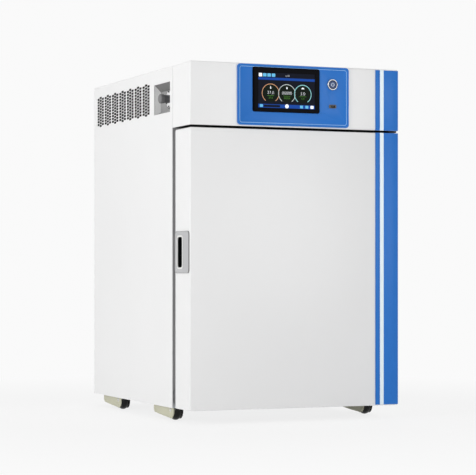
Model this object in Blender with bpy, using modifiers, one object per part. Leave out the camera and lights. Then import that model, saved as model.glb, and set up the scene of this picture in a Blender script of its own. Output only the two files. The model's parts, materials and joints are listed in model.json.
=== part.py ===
"""Carbon dioxide incubator on four rollers, as an assembly of separate pieces.

The cabinet holds a stainless chamber behind a glass inner door and a thick outer door, which together with the
control head above it makes the front slab. Metres, +Z up, +X to the right of someone facing the door, which is on
the -Y side. The origin is on the floor, at the centre of the body.
"""

import math

import bmesh
import bpy
from mathutils import Matrix, Vector

# The body, without its rollers
BODY_W = 0.565
BODY_D = 0.740
BODY_H = 0.850
FLOOR_GAP = 0.032
SHEET = 0.0015
WRAP_CORNER_R = 0.004
EDGE_R = 0.003
FIT = 0.0003
RUN = 0.0005

# The front slab: the head, the gap below it, and the door, which takes the rest of the height
HEAD_H = 0.155
HEAD_GAP = 0.006
HEAD_SEAM = 0.0012
COLLAR_L = 0.008
COLLAR_IN = 0.012
DOOR_T = 0.102
GASKET_T = 0.019
GASKET_W = 0.016
GASKET_INSET = 0.0085
GASKET_GROOVE = 0.22

# The blue and white band down the right of the front
TRIM_W = 0.0642
TRIM_STRIPE_W = 0.0124
TRIM_WHITE_W = 0.0108
TRIM_T = 0.0012
TRIM_GROOVE = 0.0006

# The outer door's hinge, and the liner pan on the door's back
HINGE_INSET = 0.008
HINGE_DEPTH = 0.060
HINGE_PIN_R = 0.004
HINGE_PIN_L = 0.024
HINGE_PLATE_T = 0.004
HINGE_PLATE_W = 0.020
HINGE_PLATE_HEEL = 0.004
HINGE_PLATE_R = 0.006
HINGE_PLATE_FRONT = 0.008
BUSH_WALL = 0.002
BUSH_L = 0.022
BUSH_FLANGE_T = 0.001
BUSH_FLANGE_R = 0.0075
DOOR_SOLE = 0.007
DOOR_LIP = 0.022
LINER_PAN_T = 0.0025
LINER_PAN_INSET = 0.004
PLATEAU_MARGIN = 0.048
PLATEAU_SLOPE = 0.012
PLATEAU_H = 0.007

# The handle in the door's left side
HANDLE_Y = 0.050
HANDLE_Z = 0.386
HANDLE_W = 0.091
HANDLE_H = 0.101
HANDLE_PLATE_T = 0.0025
HANDLE_CORNER_R = 0.008
HANDLE_LIP = 0.009
SLOT_Y = 0.064
SLOT_W = 0.031
SLOT_H = 0.0745
SLOT_R = 0.007
DISH_STEP = 0.004
POCKET_DEPTH = 0.028
POCKET_WALL = 0.002

# The chamber's distances from the body's outside, its liner and its front frame
CHAMBER_WALL = 0.0725
CHAMBER_Z = 0.098
CHAMBER_HEADROOM = 0.091
CHAMBER_REAR = 0.143
CHAMBER_COVE = 0.015
LINER_T = 0.0015
INSULATION_BACK = 0.060
FRAME_T = 0.020
REBATE_MARGIN = 0.038
REBATE_D = 0.016
BASE_H = 0.045
BASE_T = 0.0025

# The rear cover
REAR_INSET = 0.022
REAR_FLANGE = 0.012
REAR_SLOTS = 7
REAR_SLOT_W = 0.110
REAR_SLOT_H = 0.005
REAR_SLOT_PITCH = 0.011
REAR_SLOT_Z = 0.048

# The glass door
GLASS_T = 0.005
GLASS_LAP = 0.028
GLASS_STEP = 0.003
GLASS_CORNER_R = 0.006
SEAL_W = 0.009
SEAL_LIP = 0.35
GLASS_ROD_R = 0.003
GLASS_ROD_INSET = 0.0060
CLIP_H = 0.040
CLIP_GRIP = 0.0155
CLIP_T = 0.0015
CLIP_FROM_EDGE = 0.036
KNOB_R = 0.015
KNOB_H = 0.008
KNOB_STEM_R = 0.004
KNOB_IN = 0.048

# Shelves, their racks and the water tray
SHELF_COUNT = 3
SHELF_UNDER_FILTER = 0.026
SHELF_FIRST_SHARE = 0.385
SHELF_SIDE_GAP = 0.011
SHELF_REAR_GAP = 0.008
SHELF_T = 0.0012
SHELF_LIP = 0.0025
SHELF_LIP_GAP = 0.004
SHELF_CORNER_R = 0.006
SHELF_BACK_FROM_FRAME = 0.045
SHELF_SLOT_COLUMNS = 6
SHELF_SLOT_ROWS = 5
SHELF_SLOT_FILL = 0.78
SHELF_MARGIN = 0.024
RUNNER_T = 0.0012
RUNNER_H = 0.009
RUNNER_LEG = 0.016
RUNNER_LIP = 0.7
RACK_POST_W = 0.018
RACK_POST_D = 0.0015
RACK_POST_FROM_END = 0.060
RACK_POST_OVER = 0.030
TRAY_SIDE_GAP = 0.030
TRAY_REAR_GAP = 0.056
TRAY_H = 0.042
TRAY_WALL = 0.0012
TRAY_TAPER = 0.010
TRAY_RIM = 0.006
TRAY_CORNER_R = 0.018

# Air duct, fan and filter
DUCT_D = 0.045
DUCT_SIDE_GAP = 0.018
DUCT_MARGIN = 0.016
DUCT_T = 0.0012
DUCT_SLOTS = 9
DUCT_SLOT_FILL = 0.6
DUCT_SLOT_Z = 0.040
DUCT_SLOT_H = 0.006
FAN_FROM_TOP = 0.085
FAN_FROM_BACK = 0.005
FAN_R = 0.072
FAN_HUB_R = 0.012
FAN_HUB_STEP = 0.004
FAN_BLADES = 9
FAN_BLADE_W = 0.026
FAN_BLADE_T = 0.002
FAN_SWEEP = 0.75
FAN_DISC_T = 0.0015
SHAFT_R = 0.004
MOTOR_R = 0.034
MOTOR_FLANGE_R = 0.045
MOTOR_FLANGE_T = 0.003
MOTOR_GROOVE = 0.002
MOTOR_L = 0.040
FILTER_R = 0.064
FILTER_T = 0.028
FILTER_RIM = 0.004
INLET_R = 0.052

# The head's controls. Heights are from the head's underside.
PANEL_X = -0.0085
PANEL_Z = 0.078
PANEL_W = 0.302
PANEL_H = 0.150
PANEL_T = 0.0035
PANEL_RIM = 0.005
PANEL_FIELD = 0.001
PANEL_R = 0.008
BEZEL_X = -0.0288
BEZEL_Z = 0.0915
BEZEL_W = 0.181
BEZEL_H = 0.110
BEZEL_R = 0.004
BEZEL_PROUD = 0.001
MODULE_D = 0.020
SCREEN_W = 0.1535
SCREEN_H = 0.0875
SCREEN_T = 0.003
SCREEN_IN = 0.0004
SCREEN_Z = 0.090
SCREEN_X = -0.02805
BUTTON_X = 0.0973
BUTTON_Z = 0.110
BUTTON_R = 0.0102
BUTTON_TRAVEL = 0.0025
BUTTON_EDGE = 0.001
BUTTON_SUNK = 0.0006
BUTTON_SKIRT = 0.006
BUTTON_STEM_STEP = 0.004
BUTTON_BARREL_L = 0.016
BUTTON_RING_R = 0.014
BUTTON_RING_LIP = 0.0015
BUTTON_RING_PROUD = 0.0025
USB_X = 0.0976
USB_Z = 0.0555
USB_W = 0.020
USB_H = 0.009
USB_RIM = 0.001
USB_MOUTH_W = 0.0132
USB_MOUTH_H = 0.0056
USB_TONGUE_UP = 0.0004
USB_TONGUE_T = 0.0018
USB_D = 0.016

# The control board, and its larger components: across, up, width, height and depth, as shares of the board
BOARD_Y = 0.040
BOARD_T = 0.0016
BOARD_EDGE = 0.005
BOARD_POST_R = 0.003
BOARD_PART_D = 0.016
BOARD_PARTS = (
    (0.10, 0.21, 0.16, 0.36, 0.75),
    (0.35, 0.50, 0.10, 0.21, 0.25),
    (0.58, 0.21, 0.19, 0.14, 1.00),
    (0.64, 0.57, 0.13, 0.21, 0.50),
)

# The port in the recess on the left side. Heights are from the head's underside, as for the vents.
RECESS_Y0 = 0.138
RECESS_Y1 = 0.252
RECESS_Z0 = 0.041
RECESS_Z1 = 0.117
RECESS_D = 0.0165
RECESS_TAPER_Y = 0.004
RECESS_TAPER_TOP = 0.017
RECESS_TAPER_BOTTOM = 0.008
RECESS_FLANGE = 0.006
RECESS_T = 0.0012
PORT_Y = 0.182
PORT_Z = 0.077
PORT_FLANGE_R = 0.022
PORT_FLANGE_T = 0.003
PORT_NECK_R = 0.009
PORT_NECK_L = 0.020
PORT_BORE_R = 0.005
PORT_TAIL_R = 0.006
PORT_TAIL_L = 0.030
CAP_R = 0.0118
CAP_L = 0.0105
CAP_END_T = 0.003
CAP_FROM_FLANGE = 0.0145
CAP_TRAVEL = 0.030

# Vents in the left side: groups of three staggered columns
VENT_GROUPS = 7
VENT_GROUP_GAP = 0.15
VENT_FROM_FRONT = 0.287
VENT_FROM_BACK = 0.029
VENT_Z0 = 0.044
VENT_Z1 = 0.121
VENT_COLUMNS = 3
VENT_ROWS = 7
VENT_FILL_Y = 0.80
VENT_FILL_Z = 0.55

# Services on the deck and in the rear cover. The inlets' heights are from the head's underside.
DECK_FLANGE = 0.012
GAS_FROM_SIDE = 0.1325
GAS_Z = 0.095
BARB_R = 0.0045
BARB_SHOULDER = 0.001
BARB_STEP = 0.004
BARB_IN = 0.016
VALVE_FROM_BACK = 0.220
VALVE_W = 0.038
VALVE_BODY_H = 0.020
VALVE_H = 0.052
VALVE_NOSE_R = 0.006
VALVE_NIPPLE_L = 0.007
NOZZLE_REACH = 0.008
LINE_R = 0.003
LINE_LEAD = 0.012
SENSOR_X = 0.060
SENSOR_FROM_BACK = 0.310
SENSOR_R = 0.009
SENSOR_HEAD_H = 0.030
PROBE_X = -0.060
PROBE_R = 0.0025
PROBE_HEAD_H = 0.014
PROBE_REACH = 0.030
MAINS_FROM_SIDE = 0.1325
MAINS_Z = 0.095
MAINS_W = 0.029
MAINS_H = 0.025
MAINS_D = 0.020
MAINS_LIP = 0.003
MAINS_FLANGE_W = 0.042
MAINS_FLANGE_T = 0.0025
MAINS_MOUTH_W = 0.0244
MAINS_MOUTH_H = 0.0164
MAINS_BLADE_PITCH = 0.007
MAINS_BLADE_T = 0.002
MAINS_BLADE_IN = 0.007
SUPPLY_FROM_SIDE = 0.060
SUPPLY_FROM_REAR = 0.208
SUPPLY_W = 0.160
SUPPLY_D = 0.098
SUPPLY_H = 0.042
SUPPLY_FINS = 12
SUPPLY_FIN_H = 0.010

# Rollers
WHEEL_R = 0.025
WHEEL_EDGE_R = 0.0222
WHEEL_W = 0.018
WHEEL_GAP = 0.001
AXLE_R = 0.004
BRACKET_T = 0.003
BRACKET_NOSE = 0.021
BRACKET_TAIL = 0.122
BRACKET_RISE = 0.009
CASTER_INSET = 0.0065
CASTER_FROM_FRONT = 0.152
CASTER_FROM_BACK = 0.188

# Planes that many pieces share
SIDE = BODY_W / 2
FRONT = -BODY_D / 2
BACK = BODY_D / 2
Z_BASE = FLOOR_GAP
Z_TOP = Z_BASE + BODY_H
Z_HEAD = Z_TOP - HEAD_H
Z_DOOR = Z_HEAD - HEAD_GAP
Y_DOOR = FRONT + DOOR_T
Y_CAB = Y_DOOR + GASKET_T
IN_SIDE = SIDE - SHEET - FIT
IN_TOP = Z_TOP - SHEET - FIT
Z_FLOOR = Z_BASE + BASE_H
Z_CH0 = Z_BASE + CHAMBER_Z
Z_CH1 = Z_DOOR - CHAMBER_HEADROOM
CH = SIDE - CHAMBER_WALL
Y_CH0 = Y_CAB + REBATE_D
Y_CH1 = BACK - CHAMBER_REAR
Y_INS1 = Y_CH1 + LINER_T + INSULATION_BACK
Y_REAR = BACK - REAR_INSET
Z_DECK = Z_HEAD + FIT
Y_DUCT = Y_CH1 - DUCT_D
HINGE_X = SIDE - HINGE_INSET
HINGE_Y = FRONT + HINGE_DEPTH
GLASS_X = CH + REBATE_MARGIN - GLASS_ROD_INSET
GLASS_Y = Y_CAB + GLASS_STEP
Z_FAN = Z_CH1 - FAN_FROM_TOP
Z_SHELF_TOP = Z_FAN - FILTER_R - SHELF_UNDER_FILTER
Z_PANEL = Z_HEAD + PANEL_Z
GAS_X = -SIDE + GAS_FROM_SIDE
VALVE_X = GAS_X
VALVE_Y = BACK - VALVE_FROM_BACK
SENSOR_Y = BACK - SENSOR_FROM_BACK
MAINS_X = SIDE - MAINS_FROM_SIDE

FINISHES = {
    "white_steel": ((0.86, 0.86, 0.86), 0.35, 0.0),
    "blue_trim": ((0.03, 0.16, 0.52), 0.35, 0.0),
    "stainless": ((0.62, 0.62, 0.63), 0.32, 1.0),
    "zinc_steel": ((0.45, 0.46, 0.47), 0.45, 1.0),
    "dark_rubber": ((0.12, 0.12, 0.12), 0.75, 0.0),
    "clear_seal": ((0.80, 0.82, 0.82), 0.50, 0.0),
    "foam": ((0.85, 0.78, 0.55), 0.90, 0.0),
    "black_plastic": ((0.02, 0.02, 0.02), 0.30, 0.0),
    "grey_plastic": ((0.62, 0.62, 0.63), 0.45, 0.0),
    "dark_plastic": ((0.13, 0.13, 0.14), 0.50, 0.0),
    "ivory_nylon": ((0.57, 0.56, 0.43), 0.50, 0.0),
    "white_nylon": ((0.80, 0.80, 0.78), 0.50, 0.0),
    "chrome": ((0.75, 0.76, 0.78), 0.12, 1.0),
    "brass": ((0.70, 0.52, 0.20), 0.30, 1.0),
    "green_board": ((0.02, 0.16, 0.06), 0.55, 0.0),
    "screen_glass": ((0.02, 0.03, 0.06), 0.08, 0.0),
    "clear_glass": ((0.78, 0.86, 0.84), 0.04, 0.0),
    "filter_paper": ((0.86, 0.86, 0.82), 0.85, 0.0),
    "clear_hose": ((0.75, 0.76, 0.76), 0.30, 0.0),
}

# A sheet's outline directions (across, up) and the axis that its thickness follows
PLANES = {
    "XY": (Vector((1, 0, 0)), Vector((0, 1, 0)), Vector((0, 0, 1))),
    "XZ": (Vector((1, 0, 0)), Vector((0, 0, 1)), Vector((0, 1, 0))),
    "YZ": (Vector((0, 1, 0)), Vector((0, 0, 1)), Vector((1, 0, 0))),
}


def clear_scene():
    """Remove every object, and make the two collections that the model uses."""
    for obj in list(bpy.data.objects):
        bpy.data.objects.remove(obj, do_unlink=True)
    made = []
    for name in ("co2_incubator", "working_shapes"):
        collection = bpy.data.collections.new(name)
        bpy.context.scene.collection.children.link(collection)
        made.append(collection)
    return made


PARTS, WORK = clear_scene()


def finish(look):
    """Material of one finish, made on first use."""
    material = bpy.data.materials.get(look)
    if material is None:
        colour, roughness, metallic = FINISHES[look]
        material = bpy.data.materials.new(look)
        material.use_nodes = True
        shader = material.node_tree.nodes["Principled BSDF"]
        shader.inputs["Base Color"].default_value = (*colour, 1.0)
        shader.inputs["Roughness"].default_value = roughness
        shader.inputs["Metallic"].default_value = metallic
        if look == "clear_glass":
            shader.inputs["Transmission Weight"].default_value = 0.9
        material.diffuse_color = (*colour, 1.0)
    return material


def add(name, mesh, look):
    """Put a finished mesh into the model as a named piece."""
    mesh.name = name
    mesh.shade_smooth()
    mesh.set_sharp_from_angle(angle=math.radians(35))
    mesh.materials.clear()
    mesh.materials.append(finish(look))
    obj = bpy.data.objects.new(name, mesh)
    PARTS.objects.link(obj)
    return obj


def settled(obj):
    """Mesh of an object as its modifiers leave it, welded and facing out. The object is removed."""
    depsgraph = bpy.context.evaluated_depsgraph_get()
    mesh = bpy.data.meshes.new_from_object(obj.evaluated_get(depsgraph))
    mesh.transform(obj.matrix_world)
    bpy.data.objects.remove(obj, do_unlink=True)
    bm = bmesh.new()
    bm.from_mesh(mesh)
    bmesh.ops.remove_doubles(bm, verts=bm.verts, dist=1e-6)
    bmesh.ops.recalc_face_normals(bm, faces=bm.faces)
    bm.to_mesh(mesh)
    bm.free()
    return mesh


def working_object(data):
    """Hidden object that holds a shape while it is worked on."""
    obj = bpy.data.objects.new("working", data)
    obj.hide_render = True
    obj.display_type = "WIRE"
    WORK.objects.link(obj)
    return obj


def block(low, high):
    """Box between two corners."""
    bm = bmesh.new()
    bmesh.ops.create_cube(bm, size=1.0)
    low, high = Vector(low), Vector(high)
    middle, size = (low + high) / 2, high - low
    bmesh.ops.scale(bm, vec=size, verts=bm.verts)
    bmesh.ops.translate(bm, vec=middle, verts=bm.verts)
    mesh = bpy.data.meshes.new("block")
    bm.to_mesh(mesh)
    bm.free()
    return mesh


def round_edges(mesh, radius, along, segments=2, where=None):
    """Round the edges that run along the given axes, such as "x" or "xz", where a test of their middle says so."""
    bm = bmesh.new()
    bm.from_mesh(mesh)
    chosen = []
    for edge in bm.edges:
        run = edge.verts[1].co - edge.verts[0].co
        axis = "xyz"[max(range(3), key=lambda i: abs(run[i]))]
        middle = (edge.verts[0].co + edge.verts[1].co) / 2
        if axis in along and (where is None or where(middle)):
            chosen.append(edge)
    bmesh.ops.bevel(
        bm, geom=chosen, offset=radius, segments=segments, profile=0.5, affect="EDGES", clamp_overlap=True
    )
    bm.to_mesh(mesh)
    bm.free()
    return mesh


def combine(base, tools, operation="DIFFERENCE"):
    """Cut each tool mesh from the base mesh, or join it to the base, by exact Booleans."""
    host = working_object(base)
    helpers = []
    for tool in tools:
        helper = working_object(tool)
        modifier = host.modifiers.new("step", "BOOLEAN")
        modifier.operation = operation
        modifier.solver = "EXACT"
        modifier.object = helper
        helpers.append(helper)
    result = settled(host)
    for helper in helpers:
        bpy.data.objects.remove(helper, do_unlink=True)
    return result


def cut(base, *tools):
    """Base mesh without the tool meshes."""
    return combine(base, tools)


def join(base, *tools):
    """Base mesh and the tool meshes as one."""
    return combine(base, tools, "UNION")


def gathered(meshes):
    """Separate shapes held in one mesh, to cut them all at once."""
    bm = bmesh.new()
    for mesh in meshes:
        bm.from_mesh(mesh)
    result = bpy.data.meshes.new("gathered")
    bm.to_mesh(result)
    bm.free()
    return result


def rectangle(u0, v0, u1, v1):
    return [(u0, v0), (u1, v0), (u1, v1), (u0, v1)]


def rounded_rectangle(u0, v0, u1, v1, radius, steps=3):
    """Outline with round corners, counter-clockwise from the lower right corner's start."""
    points = []
    corners = ((u1 - radius, v0 + radius, -90), (u1 - radius, v1 - radius, 0),
               (u0 + radius, v1 - radius, 90), (u0 + radius, v0 + radius, 180))
    for centre_u, centre_v, start in corners:
        for step in range(steps + 1):
            angle = math.radians(start + 90 * step / steps)
            points.append((centre_u + radius * math.cos(angle), centre_v + radius * math.sin(angle)))
    return points


def circle(u, v, radius, steps=20):
    turn = 2 * math.pi / steps
    return [(u + radius * math.cos(turn * i), v + radius * math.sin(turn * i)) for i in range(steps)]


def sheet(outline, plane, start, thickness, holes=()):
    """Flat piece cut to an outline with holes: a filled 2D curve, extruded by half its thickness each way."""
    across, up, through = PLANES[plane]
    curve = bpy.data.curves.new("outline", "CURVE")
    curve.dimensions = "2D"
    curve.fill_mode = "BOTH"
    curve.extrude = thickness / 2
    for ring in (outline, *holes):
        spline = curve.splines.new("POLY")
        spline.points.add(len(ring) - 1)
        for point, (u, v) in zip(spline.points, ring):
            point.co = (u, v, 0.0, 1.0)
        spline.use_cyclic_u = True
    obj = working_object(curve)
    middle = through * (start + thickness / 2)
    turned_frame = Matrix((across, up, across.cross(up))).transposed().to_4x4()
    obj.matrix_world = Matrix.Translation(middle) @ turned_frame
    bpy.context.view_layer.update()
    return settled(obj)


def turned(profile, centre, axis="Z", steps=24, closed=False):
    """Turned piece: a profile of (radius, distance along the axis) points, revolved by a Screw modifier.

    An open profile starts and ends on the axis. A closed one makes a ring.
    """
    mesh = bpy.data.meshes.new("profile")
    count = len(profile)
    edges = [(i, i + 1) for i in range(count - 1)]
    if closed:
        edges.append((count - 1, 0))
    mesh.from_pydata([(radius, 0.0, along) for radius, along in profile], edges, [])
    obj = working_object(mesh)
    screw = obj.modifiers.new("turn", "SCREW")
    screw.steps = steps
    screw.render_steps = steps
    screw.use_merge_vertices = True
    screw.merge_threshold = 1e-5
    turns = {
        "Z": Matrix.Identity(4),
        "Y": Matrix.Rotation(math.radians(-90), 4, "X"),
        "X": Matrix.Rotation(math.radians(90), 4, "Y"),
    }
    obj.matrix_world = Matrix.Translation(Vector(centre)) @ turns[axis]
    bpy.context.view_layer.update()
    return settled(obj)


def rod(radius, start, length, axis="Z", steps=20):
    """Plain round bar from a start point along +X, +Y or +Z."""
    return turned([(0.0, 0.0), (radius, 0.0), (radius, length), (0.0, length)], start, axis, steps)


def pipe(points, radius, resolution=2):
    """Round tube along a smooth path, with closed ends."""
    curve = bpy.data.curves.new("path", "CURVE")
    curve.dimensions = "3D"
    curve.bevel_depth = radius
    curve.bevel_resolution = resolution
    curve.use_fill_caps = True
    spline = curve.splines.new("POLY")
    spline.points.add(len(points) - 1)
    for point, place in zip(spline.points, points):
        point.co = (*place, 1.0)
    return settled(working_object(curve))


def hose_path(start, end, lead, steps=10):
    """Points from start to end, both ends straight along Y, with an easy bend between them."""
    a, b = start - Vector((0, lead, 0)), end + Vector((0, lead, 0))
    path = [start]
    for i in range(steps + 1):
        share = i / steps
        ease = share * share * (3 - 2 * share)
        path.append(Vector((a.x + (b.x - a.x) * ease, a.y + (b.y - a.y) * share, a.z + (b.z - a.z) * ease)))
    return [*path, end]


def loft(loops, ring=False):
    """Skin over loops of equally many points. The ends are capped, or joined to each other for a ring."""
    bm = bmesh.new()
    rows = [[bm.verts.new(point) for point in loop] for loop in loops]
    pairs = list(zip(rows, rows[1:]))
    if ring:
        pairs.append((rows[-1], rows[0]))
    count = len(rows[0])
    for row, following in pairs:
        for i in range(count):
            j = (i + 1) % count
            bm.faces.new((row[i], row[j], following[j], following[i]))
    if not ring:
        bm.faces.new(rows[0])
        bm.faces.new(rows[-1])
    bmesh.ops.recalc_face_normals(bm, faces=bm.faces)
    mesh = bpy.data.meshes.new("loft")
    bm.to_mesh(mesh)
    bm.free()
    return mesh


def placed(outline, plane, depth):
    """Points of a flat outline, set at a depth along its plane's third axis."""
    across, up, through = PLANES[plane]
    return [across * u + up * v + through * depth for u, v in outline]


def mitred_ring(u0, v0, u1, v1, plane, section):
    """Rectangular ring with mitred corners. Its section is a list of (inset from the outside, depth) points."""
    return loft([placed(rectangle(u0 + i, v0 + i, u1 - i, v1 - i), plane, depth) for i, depth in section], ring=True)


def pivot(name, place, pieces):
    """Empty on a joint's axis that carries the moving pieces."""
    empty = bpy.data.objects.new(name, None)
    empty.location = place
    PARTS.objects.link(empty)
    bpy.context.view_layer.update()
    for piece in pieces:
        piece.parent = empty
        piece.matrix_parent_inverse = empty.matrix_world.inverted()
    return empty


def wrap_outline():
    """Section of the casing: an inverted U with round upper corners, outer path then inner path."""
    def path(half, top, radius):
        """Points from the lower left over the top to the lower right."""
        left = [(-half, Z_BASE)]
        for step in range(4):
            angle = math.radians(180 - 30 * step)
            left.append((-half + radius + radius * math.cos(angle), top - radius + radius * math.sin(angle)))
        return left + [(-u, v) for u, v in reversed(left)]

    outer = path(SIDE, Z_TOP, WRAP_CORNER_R)
    inner = path(SIDE - SHEET, Z_TOP - SHEET, WRAP_CORNER_R - SHEET)
    return outer + inner[::-1]


def vent_cutters():
    """Slots of the left side's vents. The middle column of each group stands half a row higher."""
    start, end = FRONT + VENT_FROM_FRONT, BACK - VENT_FROM_BACK
    group_pitch = (end - start) / (VENT_GROUPS - VENT_GROUP_GAP)
    column_pitch = group_pitch * (1 - VENT_GROUP_GAP) / VENT_COLUMNS
    row_pitch = (VENT_Z1 - VENT_Z0) / (VENT_ROWS + 0.5)
    half_w, half_h = column_pitch * VENT_FILL_Y / 2, row_pitch * VENT_FILL_Z / 2
    slots = []
    for group in range(VENT_GROUPS):
        for column in range(VENT_COLUMNS):
            y = start + group * group_pitch + (column + 0.5) * column_pitch
            for row in range(VENT_ROWS):
                z = Z_HEAD + VENT_Z0 + (row + 0.5 + 0.5 * (column % 2)) * row_pitch
                low = (-SIDE - SHEET, y - half_w, z - half_h)
                slots.append(block(low, (-SIDE + 2 * SHEET, y + half_w, z + half_h)))
    return gathered(slots)


def build_casing():
    """Folded casing, base tray, rear cover and the deck under the electronics."""
    wrap = sheet(wrap_outline(), "XZ", Y_CAB, BACK - Y_CAB)
    recess = block((-SIDE - SHEET, FRONT + RECESS_Y0, Z_HEAD + RECESS_Z0),
                   (-SIDE + 2 * SHEET, FRONT + RECESS_Y1, Z_HEAD + RECESS_Z1))
    add("cabinet_wrap", cut(wrap, recess, vent_cutters()), "white_steel")
    build_base()
    build_rear_cover()

    y0, y1, t, high = Y_CAB + COLLAR_L + SHEET, Y_REAR - REAR_FLANGE - FIT, SHEET, Z_DECK + DECK_FLANGE
    outline = [(y0, Z_DECK), (y1, Z_DECK), (y1, high), (y1 - t, high),
               (y1 - t, Z_DECK + t), (y0 + t, Z_DECK + t), (y0 + t, high), (y0, high)]
    deck = sheet(outline, "YZ", -IN_SIDE, 2 * IN_SIDE)
    add("deck_panel", cut(deck, *down_bores()), "zinc_steel")


def build_base():
    """Base tray, open below, with a notch that the lower hinge plate passes through."""
    tray = block((-IN_SIDE, Y_CAB, Z_BASE), (IN_SIDE, BACK, Z_FLOOR))
    inner, under = IN_SIDE - BASE_T, Z_BASE - BASE_T
    hollow = block((-inner, Y_CAB + BASE_T, under), (inner, BACK - BASE_T, Z_FLOOR - BASE_T))
    x0 = HINGE_X - HINGE_PLATE_W / 2 - HINGE_PLATE_HEEL - FIT
    notch = block((x0, Y_CAB - BASE_T, under), (inner, Y_CAB + 2 * BASE_T, lower_hinge_levels()[1] + FIT))
    add("base_frame", cut(tray, hollow, notch), "zinc_steel")


def top_corners_rounded(mesh):
    """Round the two upper corners of a piece that sits inside the casing."""
    return round_edges(mesh, WRAP_CORNER_R - SHEET, "y", 3, lambda middle: middle.z > Z_TOP - WRAP_CORNER_R)


def build_rear_cover():
    """Rear pan with its flange turned forward, vent slots, and cut-outs for the gas and mains inlets."""
    low, high = (-IN_SIDE, Y_REAR - REAR_FLANGE, Z_FLOOR + FIT), (IN_SIDE, Y_REAR, IN_TOP)
    inner_low = (low[0] + SHEET, low[1] - SHEET, low[2] + SHEET)
    inner_high = (high[0] - SHEET, high[1] - SHEET, high[2] - SHEET)
    pan = cut(top_corners_rounded(block(low, high)), block(inner_low, inner_high))
    y0, y1, half = Y_REAR - 2 * SHEET, Y_REAR + SHEET, REAR_SLOT_W / 2
    slots = []
    for row in range(REAR_SLOTS):
        z = Z_HEAD + REAR_SLOT_Z + REAR_SLOT_PITCH * row
        slots.append(block((-half, y0, z), (half, y1, z + REAR_SLOT_H)))
    gas_hole = rod(BARB_R + BARB_SHOULDER + FIT, (GAS_X, y0, Z_HEAD + GAS_Z), 3 * SHEET, "Y")
    half_w, half_h, z = MAINS_W / 2 + FIT, MAINS_H / 2 + FIT, Z_HEAD + MAINS_Z
    mains_hole = block((MAINS_X - half_w, y0, z - half_h), (MAINS_X + half_w, y1, z + half_h))
    add("rear_cover", cut(pan, gathered(slots), gas_hole, mains_hole), "white_steel")


def down_bores():
    """Bores from the deck down into the chamber, for the gas nozzle, the gas sensor and the temperature probe."""
    bores = []
    for x, y, radius in ((VALVE_X, VALVE_Y, LINE_R), (SENSOR_X, SENSOR_Y, SENSOR_R), (PROBE_X, SENSOR_Y, PROBE_R)):
        start = (x, y, Z_CH1 - CHAMBER_COVE)
        bores.append(rod(radius + RUN, start, Z_DECK - Z_CH1 + 2 * CHAMBER_COVE, "Z", 16))
    return bores


def shaft_bore(radius):
    """Bore for the fan's shaft, from the chamber to the motor."""
    return rod(radius, (0, Y_CH1 - CHAMBER_COVE, Z_FAN), Y_INS1 - Y_CH1 + 2 * CHAMBER_COVE, "Y", 16)


def chamber_block(grow, front):
    """Block of the chamber with coved edges, grown by a wall and reaching forward to a plane."""
    mesh = block((-CH - grow, front, Z_CH0 - grow), (CH + grow, Y_CH1 + grow, Z_CH1 + grow))
    radius = CHAMBER_COVE + grow
    return round_edges(mesh, radius, "xyz", 2, lambda middle: middle.y > front + radius)


def build_chamber():
    """Stainless liner, insulation round it, the frame at the mouth, and both doors' seals."""
    shaft = SHAFT_R + RUN
    inside = chamber_block(0.0, Y_CH0 - LINER_T)
    liner = cut(chamber_block(LINER_T, Y_CH0), inside, shaft_bore(shaft), *down_bores())
    add("chamber_liner", liner, "stainless")

    foam = block((-IN_SIDE, Y_CAB + FRAME_T + FIT, Z_FLOOR + FIT), (IN_SIDE, Y_INS1, Z_DECK - FIT))
    cavity = chamber_block(LINER_T + FIT, Y_CAB)
    add("cabinet_insulation", cut(foam, cavity, shaft_bore(shaft), *down_bores()), "foam")

    frame = block((-IN_SIDE, Y_CAB, Z_FLOOR + FIT), (IN_SIDE, Y_CAB + FRAME_T, Z_DECK - FIT))
    half, low, high = CH + REBATE_MARGIN, Z_CH0 - REBATE_MARGIN, Z_CH1 + REBATE_MARGIN
    rebate = block((-half, Y_CAB - FRAME_T, low), (half, Y_CH0, high))
    mouth = chamber_block(LINER_T + FIT, Y_CAB - FRAME_T)
    add("front_frame", cut(frame, rebate, mouth), "dark_plastic")
    build_seals()


def build_seals():
    """Magnetic gasket of the outer door on the cabinet, and the glass door's lip seal round the mouth."""
    half, low, high = SIDE - GASKET_INSET, Z_BASE + GASKET_INSET, Z_DOOR - GASKET_INSET
    y0, y1, w = Y_DOOR + FIT, Y_CAB - FIT, GASKET_W
    groove = GASKET_T * GASKET_GROOVE
    section = [(0, y1), (0, y0 + groove), (w * 0.2, y0), (w * 0.8, y0), (w, y0 + groove),
               (w * 0.8, y0 + 2 * groove), (w, y1 - groove), (w, y1)]
    add("door_gasket", mitred_ring(-half, low, half, high, "XZ", section), "dark_rubber")

    inset = LINER_T + 2 * FIT + SEAL_W
    y0, y1 = GLASS_Y + GLASS_T + FIT, Y_CH0 - FIT
    lip = SEAL_W * SEAL_LIP
    section = [(0, y1), (0, y0 + lip), (lip, y0), (SEAL_W - lip, y0), (SEAL_W, y0 + lip), (SEAL_W, y1)]
    ring = mitred_ring(-CH - inset, Z_CH0 - inset, CH + inset, Z_CH1 + inset, "XZ", section)
    add("glass_door_seal", ring, "clear_seal")


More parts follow.
